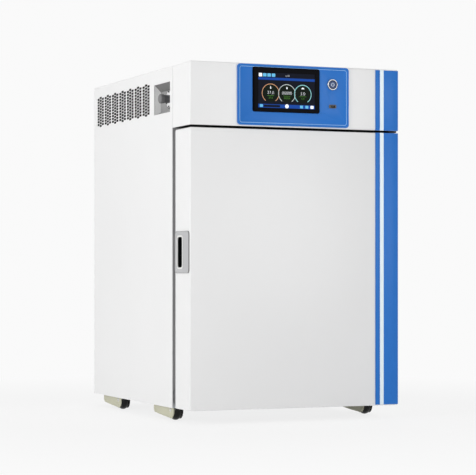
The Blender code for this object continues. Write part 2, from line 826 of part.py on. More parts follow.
def build_air_system():
    """Duct panel, filter, fan wheel and motor at the back of the chamber."""
    half, t = CH - DUCT_SIDE_GAP, DUCT_T
    y1 = Y_CH1 - FIT
    outline = [(-half, Y_DUCT), (half, Y_DUCT), (half, y1), (half - t, y1), (half - t, Y_DUCT + t),
               (-half + t, Y_DUCT + t), (-half + t, y1), (-half, y1)]
    z0, z1 = Z_CH0 + DUCT_MARGIN, Z_CH1 - DUCT_MARGIN
    panel = sheet(outline, "XY", z0, z1 - z0)
    inlet = rod(INLET_R, (0, Y_DUCT - t, Z_FAN), 3 * t, "Y", 28)
    pitch = 2 * half / (DUCT_SLOTS + 1)
    wide, low = pitch * DUCT_SLOT_FILL / 2, z0 + DUCT_SLOT_Z
    slots = []
    for number in range(DUCT_SLOTS):
        x = pitch * (number - DUCT_SLOTS / 2 + 0.5)
        slots.append(block((x - wide, Y_DUCT - t, low), (x + wide, Y_DUCT + 2 * t, low + DUCT_SLOT_H)))
    add("air_duct_panel", cut(panel, inlet, gathered(slots)), "stainless")

    rim = FILTER_RIM
    front = Y_DUCT - FIT - FILTER_T
    profile = [(0, Y_DUCT - FIT), (FILTER_R, Y_DUCT - FIT), (FILTER_R, front), (FILTER_R - rim, front),
               (FILTER_R - rim, front + rim), (0, front + rim)]
    add("hepa_filter", turned(profile, (0, 0, Z_FAN), "Y", 28), "filter_paper")
    build_fan()
    build_motor()


def build_fan():
    """Backward curved fan wheel on its shaft."""
    disc_y = Y_CH1 - FAN_FROM_BACK - FAN_DISC_T
    y_front = disc_y - FAN_BLADE_W
    y_hub = y_front + FAN_HUB_STEP
    y_end = Y_INS1 + MOTOR_L * 0.6
    hub = turned([(0, y_hub), (FAN_HUB_R, y_hub), (FAN_HUB_R, disc_y), (FAN_R, disc_y),
                  (FAN_R, disc_y + FAN_DISC_T), (SHAFT_R, disc_y + FAN_DISC_T), (SHAFT_R, y_end), (0, y_end)],
                 (0, 0, Z_FAN), "Y", 24)
    root, tip = FAN_HUB_R * 2.4, FAN_R * 0.97
    blades = []
    for number in range(FAN_BLADES):
        start = 2 * math.pi * number / FAN_BLADES
        inner, outer = [], []
        for step in range(5):
            share = step / 4
            radius = root + (tip - root) * share
            angle = start - FAN_SWEEP * share**1.3
            for side, half in ((inner, -FAN_BLADE_T / 2), (outer, FAN_BLADE_T / 2)):
                turn = angle + half / radius
                side.append((radius * math.cos(turn), Z_FAN + radius * math.sin(turn)))
        blades.append(sheet(inner + outer[::-1], "XZ", y_front, FAN_BLADE_W + FAN_DISC_T / 2))
    wheel = add("fan_impeller", join(hub, gathered(blades)), "stainless")
    pivot("fan_axis", (0, disc_y, Z_FAN), [wheel])


def build_motor():
    """Fan motor behind the insulation, flanged, with two cooling grooves."""
    y0 = Y_INS1 + FIT
    y1 = y0 + MOTOR_L
    bore, groove, wide = SHAFT_R + RUN, MOTOR_GROOVE, MOTOR_FLANGE_T
    body = [(bore, y0), (MOTOR_FLANGE_R, y0), (MOTOR_FLANGE_R, y0 + wide), (MOTOR_R, y0 + wide)]
    for ring in range(2):
        y = y0 + wide * (3 + 3 * ring)
        body += [(MOTOR_R, y), (MOTOR_R - groove, y), (MOTOR_R - groove, y + wide), (MOTOR_R, y + wide)]
    body += [(MOTOR_R, y1 - wide), (MOTOR_R - wide, y1), (bore, y1)]
    add("fan_motor", turned(body, (0, 0, Z_FAN), "Y", 24, closed=True), "zinc_steel")


def shelf_z(number):
    """Level of a shelf, counted from below. The top one is just under the filter."""
    span = Z_SHELF_TOP - Z_CH0
    steps = max(1, SHELF_COUNT - 1)
    return Z_CH0 + span * (SHELF_FIRST_SHARE + (1 - SHELF_FIRST_SHARE) * number / steps)


def build_racks():
    """Left and right shelf racks: two posts each, and a channel for every shelf's edge."""
    y0 = Y_CAB + SHELF_BACK_FROM_FRAME
    y1 = Y_DUCT - RUN - FIT
    top = shelf_z(SHELF_COUNT - 1) + RACK_POST_OVER
    wall = CH - FIT
    web = wall - RACK_POST_D
    leg, t = RUNNER_LEG, RUNNER_T
    for side, name in ((-1, "shelf_rack_left"), (1, "shelf_rack_right")):
        pieces = []
        for y in (y0 + RACK_POST_FROM_END, y1 - RACK_POST_FROM_END):
            x0, x1 = sorted((side * wall, side * (web - t / 2)))
            low = (x0, y - RACK_POST_W / 2, Z_CH0 + CHAMBER_COVE)
            pieces.append(block(low, (x1, y + RACK_POST_W / 2, top)))
        for number in range(SHELF_COUNT):
            low = shelf_z(number) - FIT - t
            high = low + RUNNER_H + 2 * t
            lip = web - leg * RUNNER_LIP
            outline = [(web, low), (web - leg, low), (web - leg, low + t), (web - t, low + t),
                       (web - t, high - t), (lip, high - t), (lip, high), (web, high)]
            pieces.append(sheet([(side * x, z) for x, z in outline], "XZ", y0, y1 - y0))
        add(name, join(pieces[0], *pieces[1:]), "stainless")


def build_shelves():
    """Perforated shelves with turned-down front and rear edges, which slide in the racks."""
    y0, y1 = Y_CAB + SHELF_BACK_FROM_FRAME, Y_DUCT - SHELF_REAR_GAP
    half = CH - SHELF_SIDE_GAP
    inner = half - RUNNER_LEG - SHELF_LIP_GAP
    pitch_x = 2 * (inner - SHELF_MARGIN / 2) / SHELF_SLOT_COLUMNS
    pitch_y = (y1 - y0 - 2 * SHELF_MARGIN) / SHELF_SLOT_ROWS
    w, h = pitch_x * SHELF_SLOT_FILL / 2, pitch_y * SHELF_SLOT_FILL / 4
    holes = []
    for column in range(SHELF_SLOT_COLUMNS):
        for row in range(SHELF_SLOT_ROWS):
            x = pitch_x * (column + 0.5 - SHELF_SLOT_COLUMNS / 2)
            y = y0 + SHELF_MARGIN + pitch_y * (row + 0.5)
            holes.append(rectangle(x - w, y - h, x + w, y + h))
    for number in range(SHELF_COUNT):
        z = shelf_z(number)
        plate = sheet(rounded_rectangle(-half, y0, half, y1, SHELF_CORNER_R, 2), "XY", z, SHELF_T, holes)
        lips = []
        for y in (y0 + FIT, y1 - FIT - SHELF_T):
            lips.append(block((-inner, y, z - SHELF_LIP), (inner, y + SHELF_T, z + SHELF_T / 2)))
        name = f"shelf_{number + 1}"
        pivot(f"{name}_slide", (0, y0, z), [add(name, join(plate, *lips), "stainless")])


def build_tray():
    """Humidity tray: a drawn basin with a turned-out rim, on the chamber floor."""
    y0, y1, half = Y_CAB + SHELF_BACK_FROM_FRAME, Y_DUCT - TRAY_REAR_GAP, CH - TRAY_SIDE_GAP
    z0, z1 = Z_CH0 + RUN, Z_CH0 + RUN + TRAY_H

    def ring(grow, z):
        """The basin's outline, grown to each side, at a level."""
        outline = rounded_rectangle(-half - grow, y0 - grow, half + grow, y1 + grow, TRAY_CORNER_R, 4)
        return placed(outline, "XY", z)

    wall, low = TRAY_WALL, -TRAY_RIM - TRAY_TAPER
    mesh = loft([ring(low, z0), ring(-TRAY_RIM, z1 - wall), ring(0, z1 - wall), ring(0, z1),
                 ring(-TRAY_RIM - wall, z1), ring(low - wall, z0 + wall)])
    pivot("water_tray_slide", (0, y0, z0), [add("water_tray", mesh, "stainless")])


def build_glass_door():
    """Inner glass door, its clips, the rod that they turn on, and its pull knob."""
    half, low, high = CH + GLASS_LAP, Z_CH0 - GLASS_LAP, Z_CH1 + GLASS_LAP
    y0, y1 = GLASS_Y, GLASS_Y + GLASS_T
    knob_x, knob_z = -CH + KNOB_IN / 2, (Z_CH0 + Z_CH1) / 2
    pane = sheet(rounded_rectangle(-half, low, half, high, GLASS_CORNER_R, 2), "XZ", y0, GLASS_T,
                 [circle(knob_x, knob_z, KNOB_STEM_R + FIT, 16)])
    glass = add("glass_door_pane", pane, "clear_glass")

    axis_y = y0 + GLASS_ROD_R / 6
    knuckle = GLASS_ROD_R + RUN + CLIP_T
    clips = []
    for name, z in (("lower", low + CLIP_FROM_EDGE), ("upper", high - CLIP_FROM_EDGE - CLIP_H)):
        arm = block((half - CLIP_GRIP, y0 - FIT - CLIP_T, z), (GLASS_X, y1 + FIT + CLIP_T, z + CLIP_H))
        barrel = rod(knuckle, (GLASS_X, axis_y, z), CLIP_H, "Z", 16)
        high_end = z + CLIP_H + CLIP_T
        throat = block((half - 2 * CLIP_GRIP, y0 - FIT, z - CLIP_T), (half + FIT, y1 + FIT, high_end))
        hole = rod(GLASS_ROD_R + RUN, (GLASS_X, axis_y, z - CLIP_T), CLIP_H + 2 * CLIP_T, "Z", 16)
        clips.append(add(f"glass_clip_{name}", cut(join(arm, barrel), throat, hole), "stainless"))

    face, back, stem = y0 - FIT, y1 + FIT, KNOB_STEM_R
    profile = [(0, face - KNOB_H), (KNOB_R * 0.8, face - KNOB_H), (KNOB_R, face - KNOB_H * 0.75),
               (KNOB_R, face - KNOB_H * 0.45), (KNOB_R * 0.55, face - KNOB_H * 0.2), (KNOB_R * 0.55, face),
               (stem, face), (stem, back), (stem * 2, back), (stem * 2, back + stem / 2), (0, back + stem / 2)]
    knob = add("glass_door_knob", turned(profile, (knob_x, 0, knob_z), "Y", 20), "dark_plastic")
    pivot("glass_door_axis", (GLASS_X, axis_y, low), [glass, knob, *clips])

    z0, z1 = Z_CH0 - REBATE_MARGIN + FIT, Z_CH1 + REBATE_MARGIN - FIT
    add("glass_hinge_rod", rod(GLASS_ROD_R, (GLASS_X, axis_y, z0), z1 - z0, "Z", 16), "stainless")


def door_swing_notch():
    """Space in the door's underside that the lower hinge plate sweeps."""
    return block((HINGE_X - HINGE_PLATE_W, FRONT + HINGE_DEPTH * 0.6, Z_BASE - SHEET),
                 (SIDE + SHEET, Y_DOOR + SHEET, Z_BASE + DOOR_SOLE))


def finger_hole(x0, x1, gap):
    """Block that clears the handle's pocket by a gap, from one depth to another."""
    y, z = FRONT + SLOT_Y, Z_BASE + HANDLE_Z
    half_w, half_h = SLOT_W / 2 + POCKET_WALL + gap, SLOT_H / 2 + POCKET_WALL + gap
    return block((x0, y - half_w, z - half_h), (x1, y + half_w, z + half_h))


def build_door_shell(bush_hole):
    """Steel pan of the door, open at the back and under its sole."""
    y_back = Y_DOOR - LINER_PAN_T
    skin = block((-SIDE, FRONT, Z_BASE), (SIDE, y_back, Z_DOOR))
    skin = round_edges(skin, EDGE_R, "xyz", 2, lambda middle: middle.y < FRONT + EDGE_R
                       or abs(middle.x) > SIDE - EDGE_R and middle.y < y_back - EDGE_R)
    z_sole, wide = Z_BASE + DOOR_SOLE, SIDE - SHEET
    inside = block((-wide, FRONT + SHEET, z_sole + SHEET), (wide, y_back - SHEET, Z_DOOR - SHEET))
    mouth = block((-SIDE + DOOR_LIP, FRONT + DOOR_T / 2, z_sole + DOOR_LIP),
                  (SIDE - DOOR_LIP, Y_DOOR, Z_DOOR - DOOR_LIP))
    under = block((-wide, FRONT + SHEET, Z_BASE - SHEET), (wide, Y_DOOR, z_sole))
    bushes = rod(bush_hole, (HINGE_X, HINGE_Y, Z_BASE), BODY_H, "Z", 20)
    finger = finger_hole(-SIDE - SHEET, -SIDE + 2 * SHEET, FIT)
    shell = cut(skin, inside, mouth, under, door_swing_notch(), bushes, finger)
    return add("door_shell", shell, "white_steel")


def build_door_foam(bush_hole):
    """Foam of the door, with wells for the handle's pocket and the hinge bushes."""
    gap = SHEET + FIT
    z_sole = Z_BASE + DOOR_SOLE
    y_back = Y_DOOR - LINER_PAN_T - gap
    foam = block((-SIDE + gap, FRONT + gap, z_sole + gap), (SIDE - gap, y_back, Z_DOOR - gap))
    well = finger_hole(-SIDE, -SIDE + POCKET_DEPTH + POCKET_WALL + 2 * FIT, RUN)
    reach = BUSH_L + HINGE_PIN_L
    bush_wells = [block((HINGE_X - bush_hole, HINGE_Y - bush_hole, z), (SIDE, HINGE_Y + bush_hole, z + reach))
                  for z in (z_sole, Z_DOOR - reach)]
    return add("door_insulation", cut(foam, well, *bush_wells), "foam")


def build_outer_door():
    """Outer door: steel pan, foam, formed back pan, front band, handle and hinge bushes."""
    inner, outer = HINGE_PIN_R + RUN, HINGE_PIN_R + RUN + BUSH_WALL
    shell, foam = build_door_shell(outer + FIT), build_door_foam(outer + FIT)
    trim = build_trim("door_trim", Z_BASE + EDGE_R, Z_DOOR - EDGE_R)
    pieces = [shell, foam, build_liner_pan(), trim, build_handle()]
    for name, z, turn in (("lower", Z_BASE + DOOR_SOLE, 1), ("upper", Z_DOOR, -1)):
        flange = turn * BUSH_FLANGE_T
        profile = [(inner, z - flange), (BUSH_FLANGE_R, z - flange), (BUSH_FLANGE_R, z - turn * FIT),
                   (outer, z - turn * FIT), (outer, z + turn * BUSH_L), (inner, z + turn * BUSH_L)]
        bush = turned(profile, (HINGE_X, HINGE_Y, 0), "Z", 20, closed=True)
        pieces.append(add(f"hinge_bush_{name}", bush, "white_nylon"))
    pivot("outer_door_axis", (HINGE_X, HINGE_Y, Z_BASE), pieces)


def build_trim(name, z0, z1):
    """Moulded blue band with a white line in its groove, on the right of the front."""
    y0 = FRONT - FIT - TRIM_T
    x0 = SIDE - TRIM_W
    band = block((x0, y0, z0), (SIDE - FIT, FRONT - FIT, z1))
    band = round_edges(band, TRIM_T * 0.7, "z", 2,
                       lambda middle: middle.y < FRONT - TRIM_T / 2 and middle.x > SIDE - TRIM_T)
    white = x0 + TRIM_STRIPE_W
    groove = block((white, y0 - TRIM_T, z0 - TRIM_T), (white + TRIM_WHITE_W, y0 + TRIM_GROOVE, z1 + TRIM_T))
    return add(name, cut(band, groove), "blue_trim")


def build_liner_pan():
    """Formed pan on the door's back, with a raised middle."""
    y_back, thin = Y_DOOR, LINER_PAN_T - FIT
    half = SIDE - LINER_PAN_INSET
    z0, z1 = Z_BASE + DOOR_SOLE + LINER_PAN_INSET, Z_DOOR - LINER_PAN_INSET
    m, s, h = PLATEAU_MARGIN, PLATEAU_MARGIN + PLATEAU_SLOPE, PLATEAU_H

    def ring(inset, depth):
        """The pan's outline at an inset and a depth."""
        radius = LINER_PAN_INSET + inset / 3
        outline = rounded_rectangle(-half + inset, z0 + inset, half - inset, z1 - inset, radius, 3)
        return placed(outline, "XZ", depth)

    mesh = loft([ring(s, y_back + h), ring(m, y_back), ring(0, y_back), ring(0, y_back - thin),
                 ring(m, y_back - thin), ring(s, y_back + h - thin)])
    return add("door_liner_pan", mesh, "white_steel")


def handle_outline(y, half_w, half_h, radius):
    """Rounded outline about the handle's middle height."""
    z = Z_BASE + HANDLE_Z
    return rounded_rectangle(y - half_w, z - half_h, y + half_w, z + half_h, radius, 4)


def build_handle():
    """Moulded handle in the door's left side: a dished plate with a finger pocket behind its slot."""
    x0 = -SIDE - FIT - HANDLE_PLATE_T
    y, slot_y = FRONT + HANDLE_Y, FRONT + SLOT_Y
    plate = sheet(handle_outline(y, HANDLE_W / 2, HANDLE_H / 2, HANDLE_CORNER_R), "YZ", x0, HANDLE_PLATE_T)
    plate = round_edges(plate, HANDLE_PLATE_T * 0.45, "yz", 1, lambda middle: abs(middle.x - x0) < 1e-6)
    grow = POCKET_WALL
    start, end = x0 + HANDLE_PLATE_T / 2, -SIDE + POCKET_DEPTH
    cup = sheet(handle_outline(slot_y, SLOT_W / 2 + grow, SLOT_H / 2 + grow, SLOT_R + grow), "YZ", start,
                end + grow - start)
    hollow = sheet(handle_outline(slot_y, SLOT_W / 2, SLOT_H / 2, SLOT_R), "YZ", x0 - grow, end - x0 + grow)
    depth, lip = HANDLE_PLATE_T * 0.6, HANDLE_LIP
    rim = handle_outline(y, HANDLE_W / 2 - lip, HANDLE_H / 2 - lip, HANDLE_CORNER_R)
    floor = handle_outline(slot_y, SLOT_W / 2 + DISH_STEP, SLOT_H / 2 + DISH_STEP / 2, SLOT_R)
    dish = loft([placed(rim, "YZ", x0 - depth), placed(rim, "YZ", x0), placed(floor, "YZ", x0 + depth)])
    return add("handle_pocket", cut(join(plate, cup), dish, hollow), "grey_plastic")


def lower_hinge_levels():
    """Underside and top of the lower hinge plate."""
    high = Z_BASE + DOOR_SOLE - BUSH_FLANGE_T - FIT
    return high - HINGE_PLATE_T, high


def build_outer_hinges():
    """Fixed hinge plates with their pins: one under the head, one under the door."""
    x0, x1 = HINGE_X - HINGE_PLATE_W / 2 - HINGE_PLATE_HEEL, min(SIDE - FIT, HINGE_X + HINGE_PLATE_W / 2)
    top, pin_l = Z_HEAD - FIT, HINGE_PIN_L + HINGE_PLATE_T / 2
    plate = block((x0, FRONT + HINGE_PLATE_FRONT, top - HINGE_PLATE_T), (x1, Y_CAB - HEAD_SEAM - FIT, top))
    plate = round_edges(plate, HINGE_PLATE_R, "z", 2,
                        lambda middle: middle.y < FRONT + HINGE_DEPTH and middle.x < HINGE_X)
    pin = rod(HINGE_PIN_R, (HINGE_X, HINGE_Y, top - HINGE_PLATE_T - HINGE_PIN_L), pin_l, "Z", 16)
    add("upper_hinge", join(plate, pin), "zinc_steel")

    low, high = lower_hinge_levels()
    plate = block((x0, HINGE_Y - HINGE_PLATE_W / 2, low), (x1, Y_CAB - FIT, high))
    plate = round_edges(plate, HINGE_PLATE_R, "z", 2, lambda middle: middle.y < HINGE_Y)
    inner_x, leg_y = IN_SIDE - BASE_T - FIT, Y_CAB + BASE_T + FIT
    tongue = block((x0, leg_y - HINGE_PLATE_W / 2, low), (inner_x, leg_y + HINGE_PLATE_T, high))
    leg = block((x0 - HINGE_PLATE_W, leg_y, low), (inner_x, leg_y + HINGE_PLATE_T, Z_FLOOR - BASE_T - FIT))
    pin = rod(HINGE_PIN_R, (HINGE_X, HINGE_Y, high - HINGE_PLATE_T / 2), pin_l, "Z", 16)
    add("lower_hinge", join(plate, tongue, leg, pin), "zinc_steel")


def build_head():
    """Control head above the door, open at the back, with a collar that slips into the casing."""
    y_back = Y_CAB - HEAD_SEAM
    skin = block((-SIDE, FRONT, Z_HEAD), (SIDE, y_back, Z_TOP))
    skin = round_edges(skin, EDGE_R, "xyz", 2, lambda middle: middle.y < FRONT + EDGE_R
                       or middle.z > Z_TOP - EDGE_R and abs(middle.x) > SIDE - EDGE_R)
    inside = block((-SIDE + SHEET, FRONT + SHEET, Z_HEAD + SHEET), (SIDE - SHEET, BACK, Z_TOP - SHEET))
    half_w, half_h = PANEL_W / 2 - PANEL_RIM, PANEL_H / 2 - PANEL_RIM
    window = block((PANEL_X - half_w, FRONT - SHEET, Z_PANEL - half_h),
                   (PANEL_X + half_w, FRONT + 2 * SHEET, Z_PANEL + half_h))

    start, end, low = y_back - COLLAR_IN, Y_CAB + COLLAR_L, Z_HEAD + 2 * SHEET + FIT
    wide = IN_SIDE - SHEET
    bore = block((-wide, start - SHEET, low - SHEET), (wide, end + SHEET, IN_TOP - SHEET))
    collar = cut(top_corners_rounded(block((-IN_SIDE, start, low), (IN_SIDE, end, IN_TOP))), bore)
    lap = SHEET / 2
    hole = block((-IN_SIDE + lap, start - SHEET, low - SHEET), (IN_SIDE - lap, y_back, IN_TOP - lap))
    web = cut(block((-SIDE + lap, start, low), (SIDE - lap, start + SHEET, Z_TOP - lap)), hole)
    add("head_housing", join(cut(skin, inside, window), collar, web), "white_steel")
    build_trim("head_trim", Z_HEAD + EDGE_R, Z_TOP - EDGE_R)
    build_control_panel()
    build_display()
    build_button()
    build_usb()
    build_board()


def build_control_panel():
    """Blue control plate with a raised rim and openings for the display, the button and the data socket."""
    y0 = FRONT - FIT - PANEL_T
    half_w, half_h, edge = BEZEL_W / 2 + FIT, BEZEL_H / 2 + FIT, USB_RIM
    z, usb_w, usb_h, z_usb = Z_HEAD + BEZEL_Z, USB_W / 2 - edge, USB_H / 2 - edge, Z_HEAD + USB_Z
    holes = [
        rounded_rectangle(BEZEL_X - half_w, z - half_h, BEZEL_X + half_w, z + half_h, BEZEL_R, 2),
        circle(BUTTON_X, Z_HEAD + BUTTON_Z, BUTTON_RING_R - BUTTON_RING_LIP, 24),
        rectangle(USB_X - usb_w, z_usb - usb_h, USB_X + usb_w, z_usb + usb_h),
    ]

    def outline(inset, radius):
        """The plate's outline at an inset."""
        wide, tall = PANEL_W / 2 - inset, PANEL_H / 2 - inset
        return rounded_rectangle(PANEL_X - wide, Z_PANEL - tall, PANEL_X + wide, Z_PANEL + tall, radius, 4)

    plate = sheet(outline(0.0, PANEL_R), "XZ", y0, PANEL_T, holes)
    inner_r = PANEL_R - PANEL_RIM / 2
    outer = placed(outline(PANEL_RIM / 2, inner_r), "XZ", y0 - PANEL_FIELD)
    floor = placed(outline(PANEL_RIM, inner_r), "XZ", y0 + PANEL_FIELD)
    add("control_panel", cut(plate, loft([outer, floor])), "blue_trim")


def build_display():
    """Black display bezel with its module behind it, and the glass screen in front."""
    z, zs = Z_HEAD + BEZEL_Z, Z_HEAD + SCREEN_Z
    y0 = FRONT - FIT - PANEL_T + PANEL_FIELD - BEZEL_PROUD
    half_w, half_h = BEZEL_W / 2, BEZEL_H / 2
    outline = rounded_rectangle(BEZEL_X - half_w, z - half_h, BEZEL_X + half_w, z + half_h, BEZEL_R, 2)
    case = round_edges(sheet(outline, "XZ", y0, MODULE_D), BEZEL_PROUD * 0.8, "xz", 1,
                       lambda middle: abs(middle.y - y0) < 1e-6)
    half_w, half_h, y1 = SCREEN_W / 2, SCREEN_H / 2, y0 + SCREEN_IN
    pocket = block((SCREEN_X - half_w - FIT, y0 - SCREEN_T, zs - half_h - FIT),
                   (SCREEN_X + half_w + FIT, y1 + SCREEN_T + FIT, zs + half_h + FIT))
    add("display_bezel", cut(case, pocket), "black_plastic")
    screen = block((SCREEN_X - half_w, y1, zs - half_h), (SCREEN_X + half_w, y1 + SCREEN_T, zs + half_h))
    add("display_screen", screen, "screen_glass")


def build_button():
    """Chrome ring and the power button that travels in it."""
    y_face = FRONT - FIT - PANEL_T + PANEL_FIELD - FIT
    at = (BUTTON_X, 0, Z_HEAD + BUTTON_Z)
    inner, outer, barrel = BUTTON_R + RUN, BUTTON_RING_R, BUTTON_RING_R - BUTTON_RING_LIP - RUN
    y0, y1, edge = y_face - BUTTON_RING_PROUD, y_face + BUTTON_BARREL_L, BUTTON_EDGE
    floor = inner - BUTTON_STEM_STEP
    profile = [(inner, y0 + edge / 2), (inner + edge, y0), (outer - edge, y0), (outer, y0 + edge),
               (outer, y_face), (barrel, y_face), (barrel, y1), (floor, y1), (floor, y1 - 2 * edge),
               (inner, y1 - 2 * edge)]
    add("power_button_ring", turned(profile, at, "Y", 24, closed=True), "chrome")
    cap_y, skirt, stem = y0 + BUTTON_SUNK, y0 + BUTTON_SUNK + BUTTON_SKIRT, floor - RUN
    profile = [(0, cap_y), (BUTTON_R - edge, cap_y), (BUTTON_R, cap_y + edge), (BUTTON_R, skirt),
               (stem, skirt), (stem, y1 + edge), (0, y1 + edge)]
    button = add("power_button", turned(profile, at, "Y", 24), "blue_trim")
    pivot("power_button_slide", (BUTTON_X, cap_y, Z_HEAD + BUTTON_Z), [button])


def build_usb():
    """Data socket: a framed shell with a tongue in its mouth."""
    y = FRONT - FIT - PANEL_T + PANEL_FIELD - FIT
    z, t = Z_HEAD + USB_Z, USB_RIM

    def centred(width, low, height, y0, y1):
        """Block centred on the socket in X, from a height below or above its middle."""
        return block((USB_X - width / 2, y0, z + low), (USB_X + width / 2, y1, z + low + height))

    frame = round_edges(centred(USB_W, -USB_H / 2, USB_H, y - t, y), t * 1.2, "y", 2)
    inner_h = USB_H - 2 * t - 2 * FIT
    body = centred(USB_W - 2 * t - 2 * FIT, -inner_h / 2, inner_h, y - t / 2, y + USB_D)
    mouth = centred(USB_MOUTH_W, -USB_MOUTH_H / 2, USB_MOUTH_H, y - 2 * t, y + USB_D - 2 * t)
    tongue = centred(USB_MOUTH_W - 2 * t, USB_TONGUE_UP, USB_TONGUE_T, y + t, y + USB_D - t)
    add("usb_socket", join(cut(join(frame, body), mouth), tongue), "dark_plastic")


def build_board():
    """Control board on four posts behind the head's front, with its larger components."""
    y0, edge = FRONT + BOARD_Y, BOARD_EDGE
    u0, u1 = PANEL_X - PANEL_W / 2 - edge, PANEL_X + PANEL_W / 2 + edge
    v0, v1 = Z_PANEL - PANEL_H / 2 + edge, Z_PANEL + PANEL_H / 2 - edge
    board = block((u0, y0, v0), (u1, y0 + BOARD_T, v1))
    start, middle = FRONT + SHEET + FIT, y0 + BOARD_T / 2
    posts = [rod(BOARD_POST_R, (u, start, v), middle - start, "Y", 10)
             for u in (u0 + edge, u1 - edge) for v in (v0 + edge, v1 - edge)]
    wide, tall = u1 - u0, v1 - v0
    chips = []
    for across, up, width, height, depth in BOARD_PARTS:
        u, v, rear = u0 + wide * across, v0 + tall * up, y0 + BOARD_T + BOARD_PART_D * depth
        chips.append(block((u, middle, v), (u + wide * width, rear, v + tall * height)))
    add("control_board", join(board, gathered(posts), gathered(chips)), "green_board")


def build_side_port():
    """Drawn recess in the left side, the port flange in it, and the pull-off cap."""
    y0, y1 = FRONT + RECESS_Y0, FRONT + RECESS_Y1
    z0, z1 = Z_HEAD + RECESS_Z0, Z_HEAD + RECESS_Z1
    x_rim = -SIDE + SHEET + FIT
    x_floor = -SIDE + RECESS_D
    t, f = RECESS_T, RECESS_FLANGE

    def ring(grow, x, shrink=0.0):
        """The recess's outline, grown by a wall, and shrunk by a share of its tapers."""
        low = z0 + shrink * RECESS_TAPER_BOTTOM - grow
        high = z1 - shrink * RECESS_TAPER_TOP + grow
        side = shrink * RECESS_TAPER_Y - grow
        return placed(rectangle(y0 + side, low, y1 - side, high), "YZ", x)

    tub = loft([ring(0, x_floor, 1.0), ring(0, x_rim), ring(f, x_rim), ring(f, x_rim + t), ring(t, x_rim + t),
                ring(t, x_floor + t, 1.0)])
    y, z = FRONT + PORT_Y, Z_HEAD + PORT_Z
    hole = rod(PORT_TAIL_R + FIT, (x_floor - t, y, z), 3 * t, "X", 20)
    add("side_port_recess", cut(tub, hole), "grey_plastic")

    face = x_floor - FIT - PORT_FLANGE_T
    neck, tail, edge = face - PORT_NECK_L, x_floor + t + PORT_TAIL_L, PORT_FLANGE_T / 5
    profile = [(PORT_BORE_R, neck), (PORT_NECK_R, neck), (PORT_NECK_R, face), (PORT_FLANGE_R - edge, face),
               (PORT_FLANGE_R, face + edge), (PORT_FLANGE_R, x_floor - FIT), (PORT_TAIL_R, x_floor - FIT),
               (PORT_TAIL_R, tail), (PORT_BORE_R, tail)]
    add("side_port_flange", turned(profile, (0, y, z), "X", 24, closed=True), "stainless")

    open_end = face - CAP_FROM_FLANGE
    tip, edge, inner = open_end - CAP_L, CAP_END_T / 2, PORT_NECK_R + FIT
    profile = [(0, tip), (CAP_R - edge, tip), (CAP_R, tip + edge), (CAP_R, open_end), (inner, open_end),
               (inner, tip + CAP_END_T), (0, tip + CAP_END_T)]
    cap = add("side_port_cap", turned(profile, (0, y, z), "X", 24), "dark_plastic")
    pivot("side_port_cap_slide", (tip, y, z), [cap])


def build_gas_inlet():
    """Hose barb through the rear cover."""
    y, barb, shoulder, step = Y_REAR, BARB_R, BARB_R + BARB_SHOULDER, BARB_STEP
    inside, waist = y - BARB_IN, barb * 0.62
    nut, seat = barb * 1.8, y - SHEET - FIT
    profile = [(0, inside), (waist, inside), (waist, y - SHEET - step), (nut, y - SHEET - step), (nut, seat),
               (shoulder, seat), (shoulder, y + step), (waist, y + step)]
    for ring in range(3):
        base = y + step * (ring + 1)
        profile += [(barb, base + step * 0.3), (waist, base + step)]
    profile += [(0, y + 4 * step)]
    add("co2_inlet", turned(profile, (GAS_X, 0, Z_HEAD + GAS_Z), "Y", 16), "brass")


def build_valve():
    """Solenoid valve on the deck, its nozzle down into the chamber, and the hose from the inlet."""
    z0 = Z_DECK + SHEET + FIT
    x, y, half, nipple_z = VALVE_X, VALVE_Y, VALVE_W / 2, z0 + VALVE_BODY_H / 2
    body = block((x - half, y - half * 0.75, z0), (x + half, y + half * 0.75, z0 + VALVE_BODY_H))
    wide = half * 0.85
    coil = block((x - wide, y - wide, z0 + VALVE_BODY_H * 0.9), (x + wide, y + wide, z0 + VALVE_H))
    nose = rod(VALVE_NOSE_R, (x, y, z0 + VALVE_H - VALVE_NOSE_R / 3), VALVE_NOSE_R, "Z", 16)
    start = Z_CH1 - NOZZLE_REACH
    nozzle = rod(LINE_R, (x, y, start), nipple_z - start, "Z", 16)
    nipple = rod(BARB_R * 0.6, (x, y + half / 2, nipple_z), VALVE_NIPPLE_L + half / 2, "Y", 12)
    pieces = [round_edges(body, half / 8, "z", 1), round_edges(coil, half / 4, "z", 2), nose, nozzle, nipple]
    add("co2_valve", join(pieces[0], *pieces[1:]), "zinc_steel")

    start = Vector((GAS_X, Y_REAR - BARB_IN - FIT, Z_HEAD + GAS_Z))
    end = Vector((x, y + half + VALVE_NIPPLE_L + FIT, nipple_z))
    add("co2_line", pipe(hose_path(start, end, LINE_LEAD), LINE_R), "clear_hose")


def build_sensors():
    """Gas sensor and temperature probe, which hang from the deck into the chamber."""
    z, reach, r = Z_DECK + SHEET + FIT, Z_CH1 - PROBE_REACH, SENSOR_R
    edge = r / 4
    profile = [(0, reach), (r - edge, reach), (r, reach + edge), (r, z), (2 * r, z),
               (2 * r, z + SENSOR_HEAD_H * 0.7), (1.6 * r, z + SENSOR_HEAD_H), (0, z + SENSOR_HEAD_H)]
    add("co2_sensor", turned(profile, (SENSOR_X, SENSOR_Y, 0), "Z", 24), "grey_plastic")
    wide, high = PROBE_R * 2.4, z + PROBE_HEAD_H
    profile = [(0, reach), (PROBE_R, reach), (PROBE_R, z), (wide, z), (wide, high), (0, high)]
    add("temperature_probe", turned(profile, (PROBE_X, SENSOR_Y, 0), "Z", 12), "stainless")


